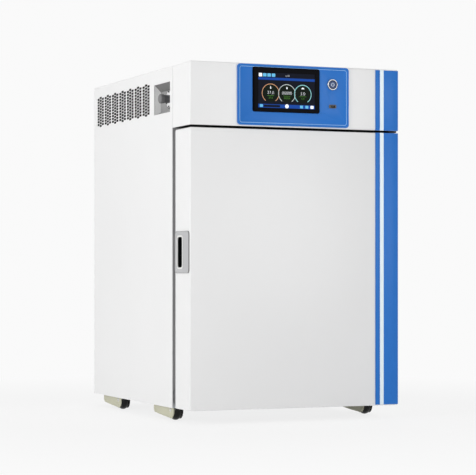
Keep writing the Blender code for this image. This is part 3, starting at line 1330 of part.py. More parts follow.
def build_mains():
    """Mains inlet in the rear cover: a flanged socket with three blades."""
    x, z, y = MAINS_X, Z_HEAD + MAINS_Z, Y_REAR

    def centred(width, height, y0, y1):
        """Block centred on the inlet."""
        return block((x - width / 2, y0, z - height / 2), (x + width / 2, y1, z + height / 2))

    edge = (MAINS_H - MAINS_MOUTH_H) / 2
    flange = centred(MAINS_FLANGE_W, MAINS_H + 2 * MAINS_LIP, y + FIT, y + FIT + MAINS_FLANGE_T)
    body = centred(MAINS_W, MAINS_H, y - MAINS_D, y + FIT + MAINS_FLANGE_T / 2)
    mouth = centred(MAINS_MOUTH_W, MAINS_MOUTH_H, y - MAINS_D + edge, y + MAINS_D / 2)
    mouth = round_edges(mouth, MAINS_LIP, "y", 1, lambda middle: middle.z > z)
    blades = []
    for across, up in ((-1, -0.3), (1, -0.3), (0, 0.4)):
        u, v = x + across * MAINS_BLADE_PITCH, z + up * MAINS_BLADE_PITCH
        low = (u - MAINS_BLADE_T / 2, y - MAINS_D + edge / 2, v - MAINS_BLADE_T)
        blades.append(block(low, (u + MAINS_BLADE_T / 2, y - MAINS_BLADE_IN, v + MAINS_BLADE_T)))
    shell = cut(join(round_edges(flange, 2 * MAINS_LIP, "y", 2), body), mouth)
    add("mains_inlet", join(shell, gathered(blades)), "black_plastic")


def build_power_supply():
    """Power supply on the deck, with cooling fins on its top."""
    x0 = IN_SIDE - SUPPLY_FROM_SIDE - SUPPLY_W
    y0, z0 = Y_REAR - SUPPLY_FROM_REAR, Z_DECK + SHEET + FIT
    y1, top, pitch = y0 + SUPPLY_D, z0 + SUPPLY_H, SUPPLY_W / (SUPPLY_FINS + 1)
    case = block((x0, y0, z0), (x0 + SUPPLY_W, y1, top))
    inset = pitch / 2
    fins = []
    for number in range(SUPPLY_FINS):
        x, thin = x0 + pitch * (number + 1), pitch / 6
        fins.append(block((x - thin, y0 + inset, top - SHEET), (x + thin, y1 - inset, top + SUPPLY_FIN_H)))
    add("power_supply", join(case, gathered(fins)), "zinc_steel")


def build_services():
    """Gas inlet, hose and valve, sensors, mains inlet and power supply."""
    build_gas_inlet()
    build_valve()
    build_sensors()
    build_mains()
    build_power_supply()


def build_casters():
    """Four fixed rollers: a moulded bracket with its axle, and a crowned wheel in it."""
    width = WHEEL_W + 2 * WHEEL_GAP + 2 * BRACKET_T
    top = Z_FLOOR - BASE_T - FIT
    half, bore, edge = WHEEL_W / 2, AXLE_R + RUN, (WHEEL_R - WHEEL_EDGE_R) * 0.7
    chamfer = WHEEL_EDGE_R - edge
    section = [(bore, -half), (chamfer, -half), (WHEEL_EDGE_R, -half + edge), (WHEEL_R, -half / 4),
               (WHEEL_R, half / 4), (WHEEL_EDGE_R, half - edge), (chamfer, half), (bore, half)]
    for end, y in (("front", FRONT + CASTER_FROM_FRONT), ("rear", BACK - CASTER_FROM_BACK)):
        for side, name in ((-1, "left"), (1, "right")):
            at = (side * (SIDE - CASTER_INSET - width / 2), y, WHEEL_R)
            add(f"caster_bracket_{end}_{name}", caster_bracket(at[0], y, width, top), "ivory_nylon")
            tyre = turned(section, at, "X", 24, closed=True)
            wheel = add(f"caster_wheel_{end}_{name}", tyre, "black_plastic")
            pivot(f"caster_{end}_{name}_axle", at, [wheel])


def caster_bracket(x, y, width, top):
    """Bracket with two cheeks and an axle across them, closed at its tail, its underside rising to the rear."""
    z, r, tail = WHEEL_R, BRACKET_NOSE, y + BRACKET_TAIL
    low, chamfer = z - r, 2 * BRACKET_T
    nose = []
    for step in range(6):
        angle = math.radians(200 + 18 * step)
        nose.append((y + r * math.cos(angle), z + r * math.sin(angle)))
    outline = [(y - r, top), *nose, (y + BRACKET_TAIL * 0.4, low + BRACKET_RISE * 0.4),
               (tail - chamfer, low + BRACKET_RISE), (tail, low + BRACKET_RISE + chamfer), (tail, top)]
    body = sheet(outline, "YZ", x - width / 2, width)
    half = width / 2 - BRACKET_T
    inside = block((x - half, y - 2 * r, low - BRACKET_T), (x + half, tail - BRACKET_T, top - BRACKET_T))
    axle = rod(AXLE_R, (x - width / 2 + FIT, y, z), width - 2 * FIT, "X", 16)
    return join(cut(body, inside), axle)


def main():
    build_casing()
    build_chamber()
    build_air_system()
    build_racks()
    build_shelves()
    build_tray()
    build_glass_door()
    build_outer_door()
    build_outer_hinges()
    build_head()
    build_side_port()
    build_services()
    build_casters()


main()
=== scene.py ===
"""Looks of a carbon dioxide incubator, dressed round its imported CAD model.

Every sub-assembly is a class that finishes the CAD nodes it owns and adds the fine pieces that the solids leave
out. Sizes are in metres, in the CAD model's own frame: +Z up, the door on the -Y side.
"""

import json
import logging
import math
from collections.abc import Callable
from dataclasses import dataclass
from enum import Enum

import bmesh
import bpy
from mathutils import Matrix, Vector


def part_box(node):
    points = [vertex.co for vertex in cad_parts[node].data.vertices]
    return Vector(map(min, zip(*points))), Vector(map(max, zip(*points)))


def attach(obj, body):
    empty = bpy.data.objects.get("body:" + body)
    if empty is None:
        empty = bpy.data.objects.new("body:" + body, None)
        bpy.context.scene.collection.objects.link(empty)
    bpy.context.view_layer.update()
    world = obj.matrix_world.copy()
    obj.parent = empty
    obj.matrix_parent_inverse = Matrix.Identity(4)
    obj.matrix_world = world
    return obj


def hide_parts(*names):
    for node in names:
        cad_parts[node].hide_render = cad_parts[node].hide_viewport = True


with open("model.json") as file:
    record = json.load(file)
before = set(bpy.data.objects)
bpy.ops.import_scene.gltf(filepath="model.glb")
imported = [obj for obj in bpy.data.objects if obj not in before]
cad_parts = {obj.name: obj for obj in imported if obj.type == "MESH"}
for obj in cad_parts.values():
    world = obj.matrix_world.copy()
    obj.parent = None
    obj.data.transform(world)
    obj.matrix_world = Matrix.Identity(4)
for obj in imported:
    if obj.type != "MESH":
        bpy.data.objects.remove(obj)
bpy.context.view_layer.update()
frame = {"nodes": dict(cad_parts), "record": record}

# How meshes are cleaned, rounded and shaded: a length in metres, and angles in degrees
WELD_DISTANCE = 2e-6
FLAT_ANGLE = 0.4
EDGE_ANGLE = 40.0
SMOOTH_ANGLE = 35.0
SMOOTH_ANGLE_ROUNDED = 28.0

# Gaps in metres: between a film or a gauze and the face that it lies on, and under a line or a seal that is stuck on
FILM_GAP = 0.00005
SEAL_GAP = 0.00002

# Directions that screw heads face
FORWARD = Vector((0, -1, 0))
BACKWARD = Vector((0, 1, 0))
DOWNWARD = Vector((0, 0, -1))
LEFTWARD = Vector((-1, 0, 0))

# Digits: their height as a share of the font's size, the thinning of their strokes, and half of their thickness
DIGIT_SHARE = 0.72
DIGIT_THINNING = 0.030
DIGIT_HALF_THICKNESS = 0.00002

Point2 = tuple[float, float]
Outline = list[Point2]
Colour = tuple[float, float, float]

log = logging.getLogger("incubator")


class Body(str, Enum):
    """Bodies of the CAD model that pieces ride on."""

    CABINET = "cabinet"
    OUTER_DOOR = "outer_door"
    GLASS_DOOR = "glass_door"
    BUTTON = "power_button"
    CAP = "side_port_cap"


class Plane(Enum):
    """Planes that a flat outline lies in, as the two directions of its coordinates."""

    XY = ((1, 0, 0), (0, 1, 0))
    XZ = ((1, 0, 0), (0, 0, 1))
    YZ = ((0, 1, 0), (0, 0, 1))

    def matrix(self, start: float) -> Matrix:
        """Return the transform from flat coordinates into this plane.

        Args:
            start: Distance of the plane along X, Y or Z.

        Returns:
            Matrix that takes (u, v, w) to the row frame, w pointing along the third axis.
        """
        across, up = (Vector(direction) for direction in self.value)
        through = Vector((1, 1, 1)) - across - up
        turned = Matrix((across, up, through)).transposed().to_4x4()
        return Matrix.Translation(through * start) @ turned


class Axis(Enum):
    """Axes that a turned piece can stand on, as the turn from +Z."""

    X = (90, "Y")
    Y = (-90, "X")
    Z = (0, "Z")

    def matrix(self, centre: Vector) -> Matrix:
        """Return the transform that stands a piece made along +Z on this axis at a centre."""
        degrees, about = self.value
        return Matrix.Translation(centre) @ Matrix.Rotation(math.radians(degrees), 4, about)


class ShaderBench:
    """Adds and links the nodes of one material."""

    def __init__(self, material: bpy.types.Material) -> None:
        """Start on a material's tree.

        Args:
            material: Material whose Principled shader is dressed.
        """
        material.use_nodes = True
        self.tree = material.node_tree
        self.shader = self.tree.nodes["Principled BSDF"]
        self.place = self.tree.nodes.new("ShaderNodeTexCoord").outputs["Object"]

    def add(self, kind: str, **inputs: object) -> bpy.types.Node:
        """Add a node and set or link its inputs.

        Args:
            kind: Node type.
            inputs: Values or sockets, by input name with underscores for spaces.

        Returns:
            The new node.
        """
        node = self.tree.nodes.new(kind)
        for name, value in inputs.items():
            socket = node.inputs[name.replace("_", " ")]
            if isinstance(value, bpy.types.NodeSocket):
                self.tree.links.new(value, socket)
            else:
                socket.default_value = value
        return node

    def noise(self, scale: float, stretch: Colour = (1, 1, 1), detail: float = 3.0) -> bpy.types.NodeSocket:
        """Return a noise value, read at Object coordinates.

        Args:
            scale: Cycles per metre.
            stretch: Scale along each axis, for grain that runs one way.
            detail: Octaves.
        """
        mapped = self.add("ShaderNodeMapping", Vector=self.place, Scale=stretch).outputs["Vector"]
        return self.add("ShaderNodeTexNoise", Vector=mapped, Scale=scale, Detail=detail).outputs["Fac"]

    def between(self, value: bpy.types.NodeSocket, low: float, high: float) -> bpy.types.NodeSocket:
        """Return a value spread from its middle half to the range from low to high."""
        return self.add(
            "ShaderNodeMapRange", Value=value, From_Min=0.25, From_Max=0.75, To_Min=low, To_Max=high
        ).outputs["Result"]

    def tint(self, factor: bpy.types.NodeSocket, first: Colour, second: Colour) -> None:
        """Link the base colour to a mix of two colours.

        Args:
            factor: How much of the second colour shows.
            first: Colour at 0.
            second: Colour at 1.
        """
        mix = self.tree.nodes.new("ShaderNodeMix")
        mix.data_type = "RGBA"
        mix.inputs["A"].default_value = (*first, 1)
        mix.inputs["B"].default_value = (*second, 1)
        self.tree.links.new(factor, mix.inputs["Factor"])
        colour = next(socket for socket in mix.outputs if socket.type == "RGBA")
        self.tree.links.new(colour, self.shader.inputs["Base Color"])

    def roughen(self, value: bpy.types.NodeSocket, low: float, high: float) -> None:
        """Link the roughness to a value spread between two limits."""
        self.tree.links.new(self.between(value, low, high), self.shader.inputs["Roughness"])

    def bump(self, height: bpy.types.NodeSocket, strength: float, distance: float) -> None:
        """Link the normal to a bump of a height.

        Args:
            height: Height field.
            strength: Share of the bump.
            distance: Depth in metres.
        """
        node = self.add("ShaderNodeBump", Height=height, Strength=strength, Distance=distance)
        self.tree.links.new(node.outputs["Normal"], self.shader.inputs["Normal"])


def shaded(colour: Colour, share: float) -> Colour:
    """Return a colour made darker or lighter by a share."""
    return tuple(min(1.0, channel * share) for channel in colour)


@dataclass(frozen=True)
class Finish:
    """A surface finish, and the base of the others.

    Attributes:
        name: Name of the material.
        slot: Material slot of the record that the finish stands for; not used by this script.
        colour: Base colour, linear.
        roughness: Mean roughness.
        metallic: 1 for bare metal.
    """

    name: str
    slot: str
    colour: Colour
    roughness: float
    metallic: float = 0.0

    def material(self) -> bpy.types.Material:
        """Return the finish's material, made on first use."""
        found = bpy.data.materials.get(self.name)
        if found is None:
            found = bpy.data.materials.new(self.name)
            bench = ShaderBench(found)
            bench.shader.inputs["Base Color"].default_value = (*self.colour, 1)
            bench.shader.inputs["Roughness"].default_value = self.roughness
            bench.shader.inputs["Metallic"].default_value = self.metallic
            self.dress(bench)
        return found

    def dress(self, bench: ShaderBench) -> None:
        """Add the finish's own detail. The plain finish has a faint unevenness only."""
        uneven = bench.noise(40.0)
        bench.roughen(uneven, self.roughness * 0.9, self.roughness * 1.1)


@dataclass(frozen=True)
class PowderCoat(Finish):
    """Baked paint with an orange-peel surface.

    Attributes:
        peel: Depth of the orange peel.
    """

    peel: float = 0.00006

    def dress(self, bench: ShaderBench) -> None:
        """Add the peel, a cloudy gloss and a barely uneven colour."""
        cloud = bench.noise(5.0, detail=4.0)
        bench.tint(cloud, shaded(self.colour, 0.985), shaded(self.colour, 1.01))
        bench.roughen(bench.noise(60.0), self.roughness * 0.88, self.roughness * 1.12)
        bench.bump(bench.noise(700.0, detail=1.0), 0.25, self.peel)
        bench.shader.inputs["Specular IOR Level"].default_value = 0.4


@dataclass(frozen=True)
class Brushed(Finish):
    """Metal with a grain that runs one way.

    Attributes:
        grain: Stretch of the grain along each axis: small along the brushing.
        streak: How much the roughness varies.
    """

    metallic: float = 1.0
    grain: Colour = (0.04, 1.0, 1.0)
    streak: float = 0.3

    def dress(self, bench: ShaderBench) -> None:
        """Add long streaks in the colour, the gloss and the relief, over a soft cloud."""
        streaks = bench.noise(900.0, self.grain, 4.0)
        bench.tint(streaks, shaded(self.colour, 0.88), shaded(self.colour, 1.08))
        low, high = self.roughness * (1 - self.streak), self.roughness * (1 + self.streak)
        bench.roughen(streaks, low, high)
        bench.bump(streaks, 0.15, 0.00003)


@dataclass(frozen=True)
class Plated(Finish):
    """Zinc plate, cast metal or turned metal: a fine mottle without a direction.

    Attributes:
        mottle: Cycles per metre of the mottle.
    """

    metallic: float = 1.0
    mottle: float = 160.0

    def dress(self, bench: ShaderBench) -> None:
        """Add the mottle to the colour and the gloss, and a fine relief."""
        patches = bench.noise(self.mottle, detail=5.0)
        bench.tint(patches, shaded(self.colour, 0.85), shaded(self.colour, 1.1))
        bench.roughen(patches, self.roughness * 0.75, self.roughness * 1.25)
        bench.bump(bench.noise(1400.0), 0.1, 0.00003)


@dataclass(frozen=True)
class Moulded(Finish):
    """Moulded plastic or rubber with a spark-eroded grain.

    Attributes:
        grain: Depth of the grain.
        cell: Cycles per metre of the grain.
        shine: Strength of the reflection, 0.5 for common plastic.
    """

    grain: float = 0.00008
    cell: float = 900.0
    shine: float = 0.5

    def dress(self, bench: ShaderBench) -> None:
        """Add the grain and a slightly cloudy gloss."""
        bench.shader.inputs["Specular IOR Level"].default_value = self.shine
        cloud = bench.noise(25.0)
        bench.tint(cloud, shaded(self.colour, 0.94), shaded(self.colour, 1.05))
        bench.roughen(cloud, self.roughness * 0.88, self.roughness * 1.12)
        bench.bump(bench.noise(self.cell, detail=2.0), 0.3, self.grain)


@dataclass(frozen=True)
class Foam(Finish):
    """Cut foam with open cells.

    Attributes:
        cell: Cells per metre.
    """

    cell: float = 350.0

    def dress(self, bench: ShaderBench) -> None:
        """Add round cells in the colour and the relief."""
        cells = bench.add("ShaderNodeTexVoronoi", Vector=bench.place, Scale=self.cell).outputs["Distance"]
        bench.tint(cells, shaded(self.colour, 1.05), shaded(self.colour, 0.6))
        bench.bump(cells, 0.6, 0.0008)


@dataclass(frozen=True)
class ClearGlass(Finish):
    """Clear float glass, faintly green, with a trace of handling marks."""

    def dress(self, bench: ShaderBench) -> None:
        """Make the glass clear, and uneven in gloss by a trace."""
        bench.shader.inputs["Transmission Weight"].default_value = 1.0
        bench.shader.inputs["IOR"].default_value = 1.5
        bench.roughen(bench.noise(14.0, detail=5.0), 0.0, self.roughness)


@dataclass(frozen=True)
class CircuitBoard(Finish):
    """Solder mask over copper traces.

    Attributes:
        copper: Colour of the traces under the mask.
    """

    copper: Colour = (0.10, 0.34, 0.12)

    def dress(self, bench: ShaderBench) -> None:
        """Add the traces as a brick pattern under the mask."""
        across = bench.add("ShaderNodeMapping", Vector=bench.place, Rotation=(math.radians(90), 0, 0))
        bricks = bench.add("ShaderNodeTexBrick", Vector=across.outputs["Vector"], Scale=90.0, Mortar_Size=0.06)
        bench.tint(bricks.outputs["Fac"], self.colour, self.copper)
        bench.bump(bricks.outputs["Fac"], 0.2, 0.00005)


@dataclass(frozen=True)
class LitScreen(Finish):
    """Lit part of a display, with its fine pixel columns.

    Attributes:
        glow: Strength of the light.
        pixel: Width of a pixel column.
    """

    glow: float = 0.9
    pixel: float = 0.0004

    def dress(self, bench: ShaderBench) -> None:
        """Make the finish glow in its own colour, dimmed between the pixels."""
        bench.shader.inputs["Specular IOR Level"].default_value = 0.03
        wave = bench.add("ShaderNodeTexWave", Vector=bench.place, Scale=math.pi / 10 / self.pixel)
        bench.tint(wave.outputs["Fac"], shaded(self.colour, 0.9), self.colour)
        colour = bench.shader.inputs["Base Color"].links[0].from_socket
        bench.tree.links.new(colour, bench.shader.inputs["Emission Color"])
        bench.shader.inputs["Emission Strength"].default_value = self.glow


WHITE_STEEL = PowderCoat("white_powder_coat", "white_steel", (0.86, 0.86, 0.86), 0.34)
# The head's white is a slightly lighter copy of the same powder coat: painted light, for the head's brighter front
HEAD_WHITE_LIT = PowderCoat("white_powder_coat_head", "white_steel", (0.87, 0.87, 0.87), 0.34)
BLUE_PLASTIC = Moulded("blue_band_plastic", "blue_trim", (0.026, 0.180, 0.600), 0.32, grain=0.00003, shine=0.15)
WHITE_LINE = Moulded("white_line_vinyl", "white_steel", (0.80, 0.91, 1.0), 0.30, grain=0.00002)
# Pale blue for the line round the control plate: a painted highlight on the bevel of its rim
PANEL_HIGHLIGHT_BLUE = Moulded("pale_blue_line", "blue_trim", (0.32, 0.58, 0.92), 0.35, grain=0.00002, shine=0.2)
STAINLESS = Brushed("brushed_stainless", "stainless", (0.62, 0.62, 0.63), 0.30)
STAINLESS_UPRIGHT = Brushed("brushed_stainless_upright", "stainless", (0.62, 0.62, 0.63), 0.30, grain=(1, 1, 0.04))
STAINLESS_DEEP = Brushed("brushed_stainless_front_to_back", "stainless", (0.62, 0.62, 0.63), 0.30, grain=(1, 0.04, 1))
TURNED_STEEL = Plated("turned_steel", "stainless", (0.66, 0.66, 0.67), 0.20, mottle=260.0)
ZINC = Plated("zinc_plate", "zinc_steel", (0.50, 0.51, 0.53), 0.42)
ALUMINIUM = Plated("cast_aluminium", "aluminium_case", (0.66, 0.67, 0.68), 0.40)
# Near-black zinc on the socket's shell and the hinge screws; on the upper hinge this near black is painted shade for
# the gap above the door
DARK_ZINC_AND_SHADE = Plated("dark_zinc_plate", "zinc_steel", (0.040, 0.040, 0.044), 0.45)
RING_METAL = Plated("dark_chrome", "chrome", (0.32, 0.33, 0.35), 0.16, mottle=60.0)
BRASS = Plated("turned_brass", "brass", (0.72, 0.52, 0.21), 0.25)
GASKET = Moulded("gasket_rubber", "dark_rubber", (0.15, 0.15, 0.15), 0.62, cell=1400.0)
# Dark grey for the edge round the handle plate: painted shade on its front wall
HANDLE_SHADE_GREY = Moulded("handle_edge_rubber", "dark_rubber", (0.20, 0.20, 0.20), 0.55, shine=0.3)
# Near-black sheet under the head: painted shade for the dark gap above the door
GAP_SHADE_BLACK = Moulded("black_seal_foam", "dark_rubber", (0.010, 0.010, 0.010), 0.85, cell=1800.0, shine=0.1)
# Near-black gauze behind the side vents: painted shade seen through the slots
VENT_SHADE_GAUZE = Moulded("black_dust_gauze", "dark_plastic", (0.004, 0.004, 0.004), 0.90, shine=0.0)
SEAL = Moulded("translucent_silicone", "clear_seal", (0.80, 0.82, 0.82), 0.45, grain=0.00003)
FOAM = Foam("closed_cell_foam", "foam", (0.85, 0.78, 0.55), 0.9)
BLACK_GLOSS = Moulded("black_gloss_plastic", "black_plastic", (0.0015, 0.0015, 0.003), 0.16, 0.0, 0.00001, shine=0.02)
BLACK_NYLON = Moulded("black_roller_nylon", "black_plastic", (0.004, 0.004, 0.004), 0.20, grain=0.00003, shine=0.2)
DARK_GREY = Moulded("dark_grey_plastic", "dark_plastic", (0.095, 0.095, 0.100), 0.48)
# Near-black plastic: real on the port's small screws and seal, and painted shade in the handle's finger well
BLACK_AND_WELL_SHADE = Moulded("black_finger_well", "dark_plastic", (0.004, 0.004, 0.005), 0.55, shine=0.08)
CAP_GREY = Moulded("grey_cap_rubber", "dark_plastic", (0.16, 0.16, 0.165), 0.50)
LIGHT_GREY = Moulded("light_grey_plastic", "grey_plastic", (0.66, 0.66, 0.67), 0.38, grain=0.00004)
FRAME_GREY = Moulded("frame_grey_plastic", "dark_plastic", (0.42, 0.42, 0.43), 0.50)
HANDLE_GREY = Moulded("handle_grey_plastic", "grey_plastic", (0.47, 0.47, 0.48), 0.38, grain=0.00004)
RECESS_GREY = PowderCoat("recess_grey_paint", "grey_plastic", (0.30, 0.30, 0.30), 0.42)
# Darker and lighter copies of the recess paint: painted shade on its roof and painted light on its rear wall
RECESS_PAINTED_SHADE = PowderCoat("recess_dark_lining", "dark_plastic", (0.16, 0.16, 0.16), 0.55)
RECESS_PAINTED_LIGHT = PowderCoat("recess_pale_lining", "grey_plastic", (0.72, 0.72, 0.72), 0.42)
BRIGHT_STEEL = Plated("bright_flange_steel", "stainless", (0.86, 0.86, 0.87), 0.22, mottle=160.0)
IVORY = Moulded("ivory_nylon", "ivory_nylon", (0.93, 0.91, 0.81), 0.42)
WHITE_NYLON = Moulded("white_nylon", "white_nylon", (0.80, 0.80, 0.78), 0.45)
BOARD = CircuitBoard("circuit_board", "green_board", (0.015, 0.12, 0.045), 0.45)
GLASS = ClearGlass("clear_door_glass", "clear_glass", (0.88, 0.95, 0.93), 0.03)
PAPER = Moulded("filter_paper", "filter_paper", (0.86, 0.86, 0.82), 0.9, grain=0.0002, cell=500.0)
HOSE = Moulded("milky_hose", "clear_hose", (0.75, 0.76, 0.76), 0.35)
BUTTON_RIM = Moulded("button_dark_blue", "blue_trim", (0.010, 0.030, 0.110), 0.25, grain=0.00001, shine=0.3)
BUTTON_BLUE = Plated("button_blue_metal", "blue_trim", (0.020, 0.045, 0.13), 0.34, metallic=0.3)
SCREEN_OFF = Moulded("display_glass", "screen_glass", (0.002, 0.002, 0.005), 0.10, grain=0.000005, shine=0.02)
LIT_WHITE = LitScreen("lit_white", "screen_glass", (0.66, 0.69, 0.72), 0.3)
LIT_DARK = LitScreen("lit_dark", "screen_glass", (0.003, 0.004, 0.009), 0.3)
LIT_WELL = LitScreen("lit_gauge_well", "screen_glass", (0.0025, 0.005, 0.003), 0.3)
LIT_BLUE = LitScreen("lit_blue", "screen_glass", (0.006, 0.040, 0.22), 0.3)
LIT_SKY = LitScreen("lit_sky", "screen_glass", (0.09, 0.32, 0.50), 0.3)
LIT_GREEN = LitScreen("lit_green", "screen_glass", (0.07, 0.22, 0.03), 0.3)
LIT_ORANGE = LitScreen("lit_orange", "screen_glass", (0.42, 0.22, 0.12), 0.3)
LIT_PALE = LitScreen("lit_pale", "screen_glass", (0.34, 0.38, 0.38), 0.3)
LIT_CYAN = LitScreen("lit_cyan", "screen_glass", (0.20, 0.46, 0.48), 0.3)


def mesh_of(bm: bmesh.types.BMesh, name: str = "shape") -> bpy.types.Mesh:
    """Return a mesh of an edit mesh, and free the latter."""
    mesh = bpy.data.meshes.new(name)
    bm.to_mesh(mesh)
    bm.free()
    return mesh


def smoothed(mesh: bpy.types.Mesh, angle: float = SMOOTH_ANGLE) -> bpy.types.Mesh:
    """Return the mesh shaded smooth, with sharp edges over an angle in degrees."""
    mesh.shade_smooth()
    mesh.set_sharp_from_angle(angle=math.radians(angle))
    return mesh


def evaluated(data: bpy.types.ID, dress: Callable[[bpy.types.Object], None] | None = None) -> bpy.types.Mesh:
    """Return the plain mesh of curve, text or mesh data.

    Args:
        data: What the working object shows.
        dress: Function that adds modifiers to the working object.
    """
    obj = bpy.data.objects.new("working", data)
    bpy.context.scene.collection.objects.link(obj)
    if dress is not None:
        dress(obj)
    depsgraph = bpy.context.evaluated_depsgraph_get()
    mesh = bpy.data.meshes.new_from_object(obj.evaluated_get(depsgraph))
    bpy.data.objects.remove(obj, do_unlink=True)
    return mesh


def block(low: Vector, high: Vector, edge: float = 0.0, segments: int = 2) -> bpy.types.Mesh:
    """Return a box between two corners with rounded edges.

    Args:
        low: Lowest corner.
        high: Highest corner.
        edge: Radius of the edges.
        segments: Steps across each edge.
    """
    low, high = Vector(low), Vector(high)
    bm = bmesh.new()
    bmesh.ops.create_cube(bm, size=1.0)
    bmesh.ops.scale(bm, vec=high - low, verts=bm.verts)
    bmesh.ops.translate(bm, vec=(low + high) / 2, verts=bm.verts)
    if edge:
        bmesh.ops.bevel(bm, geom=bm.edges[:], offset=edge, segments=segments, profile=0.5, affect="EDGES")
    return mesh_of(bm)


def arc_points(centre: Point2, radius: float, start: float, end: float, steps: int) -> Outline:
    """Return points along an arc.

    Args:
        centre: Centre of the arc.
        radius: Radius of the arc.
        start: First angle in degrees.
        end: Last angle in degrees.
        steps: Steps along the arc.
    """
    turns = [math.radians(start + (end - start) * step / steps) for step in range(steps + 1)]
    return [(centre[0] + radius * math.cos(turn), centre[1] + radius * math.sin(turn)) for turn in turns]


def circle(centre: Point2, radius: float, steps: int) -> Outline:
    """Return a circle's outline."""
    return arc_points(centre, radius, 0, 360, steps)[:-1]


def rounded(u0: float, v0: float, u1: float, v1: float, radius: float, steps: int = 8) -> Outline:
    """Return a rectangle's outline with round corners.

    Args:
        u0: Lowest first coordinate.
        v0: Lowest second coordinate.
        u1: Highest first coordinate.
        v1: Highest second coordinate.
        radius: Corner radius.
        steps: Steps round each corner.
    """
    left, right, bottom, top = u0 + radius, u1 - radius, v0 + radius, v1 - radius
    outline = []
    for quarter, corner in enumerate(((right, bottom), (right, top), (left, top), (left, bottom))):
        outline += arc_points(corner, radius, 90 * (quarter - 1), 90 * quarter, steps)
    return outline


def centred(centre: Point2, half_width: float, half_height: float, radius: float, steps: int = 8) -> Outline:
    """Return the outline of a rectangle with round corners about its centre.

    Args:
        centre: Centre of the rectangle.
        half_width: Half of its width.
        half_height: Half of its height.
        radius: Corner radius.
        steps: Steps round each corner.
    """
    u, v = centre
    return rounded(u - half_width, v - half_height, u + half_width, v + half_height, radius, steps)


def ring_arc(centre: Point2, inner: float, outer: float, start: float, end: float, steps: int = 48) -> Outline:
    """Return the outline of an arc-shaped band.

    Args:
        centre: Centre of the arc.
        inner: Inner radius.
        outer: Outer radius.
        start: First angle in degrees.
        end: Last angle in degrees.
        steps: Steps along the arc.
    """
    near = arc_points(centre, inner, start, end, steps)
    return arc_points(centre, outer, start, end, steps) + near[::-1]


def plate(
    outline: Outline, plane: Plane, start: float, thickness: float, holes: tuple[Outline, ...] = ()
) -> bpy.types.Mesh:
    """Return a flat piece with holes.

    Args:
        outline: Outer edge.
        plane: Plane it lies in.
        start: Where its thickness begins.
        thickness: Thickness along the plane's third axis.
        holes: Outlines of its holes.
    """
    curve = bpy.data.curves.new("outline", "CURVE")
    curve.dimensions = "2D"
    curve.fill_mode = "BOTH"
    curve.extrude = thickness / 2
    for ring in (outline, *holes):
        spline = curve.splines.new("POLY")
        spline.points.add(len(ring) - 1)
        for point, (u, v) in zip(spline.points, ring):
            point.co = (u, v, 0, 1)
        spline.use_cyclic_u = True
    mesh = evaluated(curve)
    bm = bmesh.new()
    bm.from_mesh(mesh)
    bmesh.ops.remove_doubles(bm, verts=bm.verts, dist=1e-7)
    bmesh.ops.transform(bm, matrix=plane.matrix(start + thickness / 2), verts=bm.verts)
    bmesh.ops.recalc_face_normals(bm, faces=bm.faces)
    return mesh_of(bm)


def lathe(profile: Outline, axis: Axis, centre: Vector, steps: int = 64, closed: bool = False) -> bpy.types.Mesh:
    """Return a turned piece.

    Args:
        profile: Points of (radius, distance along the axis).
        axis: Axis it is turned about.
        centre: Point on the axis that distances are counted from.
        steps: Steps round the turn.
        closed: True for a ring, whose profile is a loop.
    """
    bm = bmesh.new()
    verts = [bm.verts.new((radius, 0, along)) for radius, along in profile]
    pairs = list(zip(verts, verts[1:]))
    if closed:
        pairs.append((verts[-1], verts[0]))
    edges = [bm.edges.new(pair) for pair in pairs]
    bmesh.ops.spin(
        bm, geom=verts + edges, axis=(0, 0, 1), cent=(0, 0, 0), angle=math.tau, steps=steps, use_merge=True
    )
    bmesh.ops.remove_doubles(bm, verts=bm.verts, dist=1e-6)
    bmesh.ops.transform(bm, matrix=axis.matrix(Vector(centre)), verts=bm.verts)
    bmesh.ops.recalc_face_normals(bm, faces=bm.faces)
    return mesh_of(bm)


def skin(loops: list[list[Vector]], closed: bool = False) -> bpy.types.Mesh:
    """Return the surface over a row of loops.

    Args:
        loops: Loops of equally many points.
        closed: True where the last loop meets the first, and False where both ends are capped.
    """
    bm = bmesh.new()
    rows = [[bm.verts.new(point) for point in loop] for loop in loops]
    pairs = list(zip(rows, rows[1:]))
    if closed:
        pairs.append((rows[-1], rows[0]))
    count = len(rows[0])
    for first, second in pairs:
        for i in range(count):
            bm.faces.new((first[i], first[i - count + 1], second[i - count + 1], second[i]))
    if not closed:
        bm.faces.new(rows[0])
        bm.faces.new(rows[-1])
    bmesh.ops.recalc_face_normals(bm, faces=bm.faces)
    return mesh_of(bm)


def lifted(outline: Outline, plane: Plane, depth: float) -> list[Vector]:
    """Return an outline's points in space."""
    matrix = plane.matrix(depth)
    return [matrix @ Vector((u, v, 0)) for u, v in outline]


def joined(*meshes: bpy.types.Mesh) -> bpy.types.Mesh:
    """Return several meshes as one."""
    bm = bmesh.new()
    for mesh in meshes:
        bm.from_mesh(mesh)
    return mesh_of(bm)


def digits(text: str, height: float, centre: Point2, start: float) -> bpy.types.Mesh:
    """Return raised digits, facing -Y.

    Args:
        text: Digits and points.
        height: Height of a digit.
        centre: Middle of the text, as X and Z.
        start: Y of the face that they stand on.
    """
    curve = bpy.data.curves.new("digits", "FONT")
    curve.body = text
    curve.align_x = "CENTER"
    curve.align_y = "CENTER"
    curve.size = height / DIGIT_SHARE
    curve.extrude = DIGIT_HALF_THICKNESS
    curve.offset = -height * DIGIT_THINNING
    curve.resolution_u = 3
    mesh = evaluated(curve)
    turn = Matrix.Rotation(math.radians(90), 4, "X")
    mesh.transform(Matrix.Translation((centre[0], start - DIGIT_HALF_THICKNESS, centre[1])) @ turn)
    return mesh


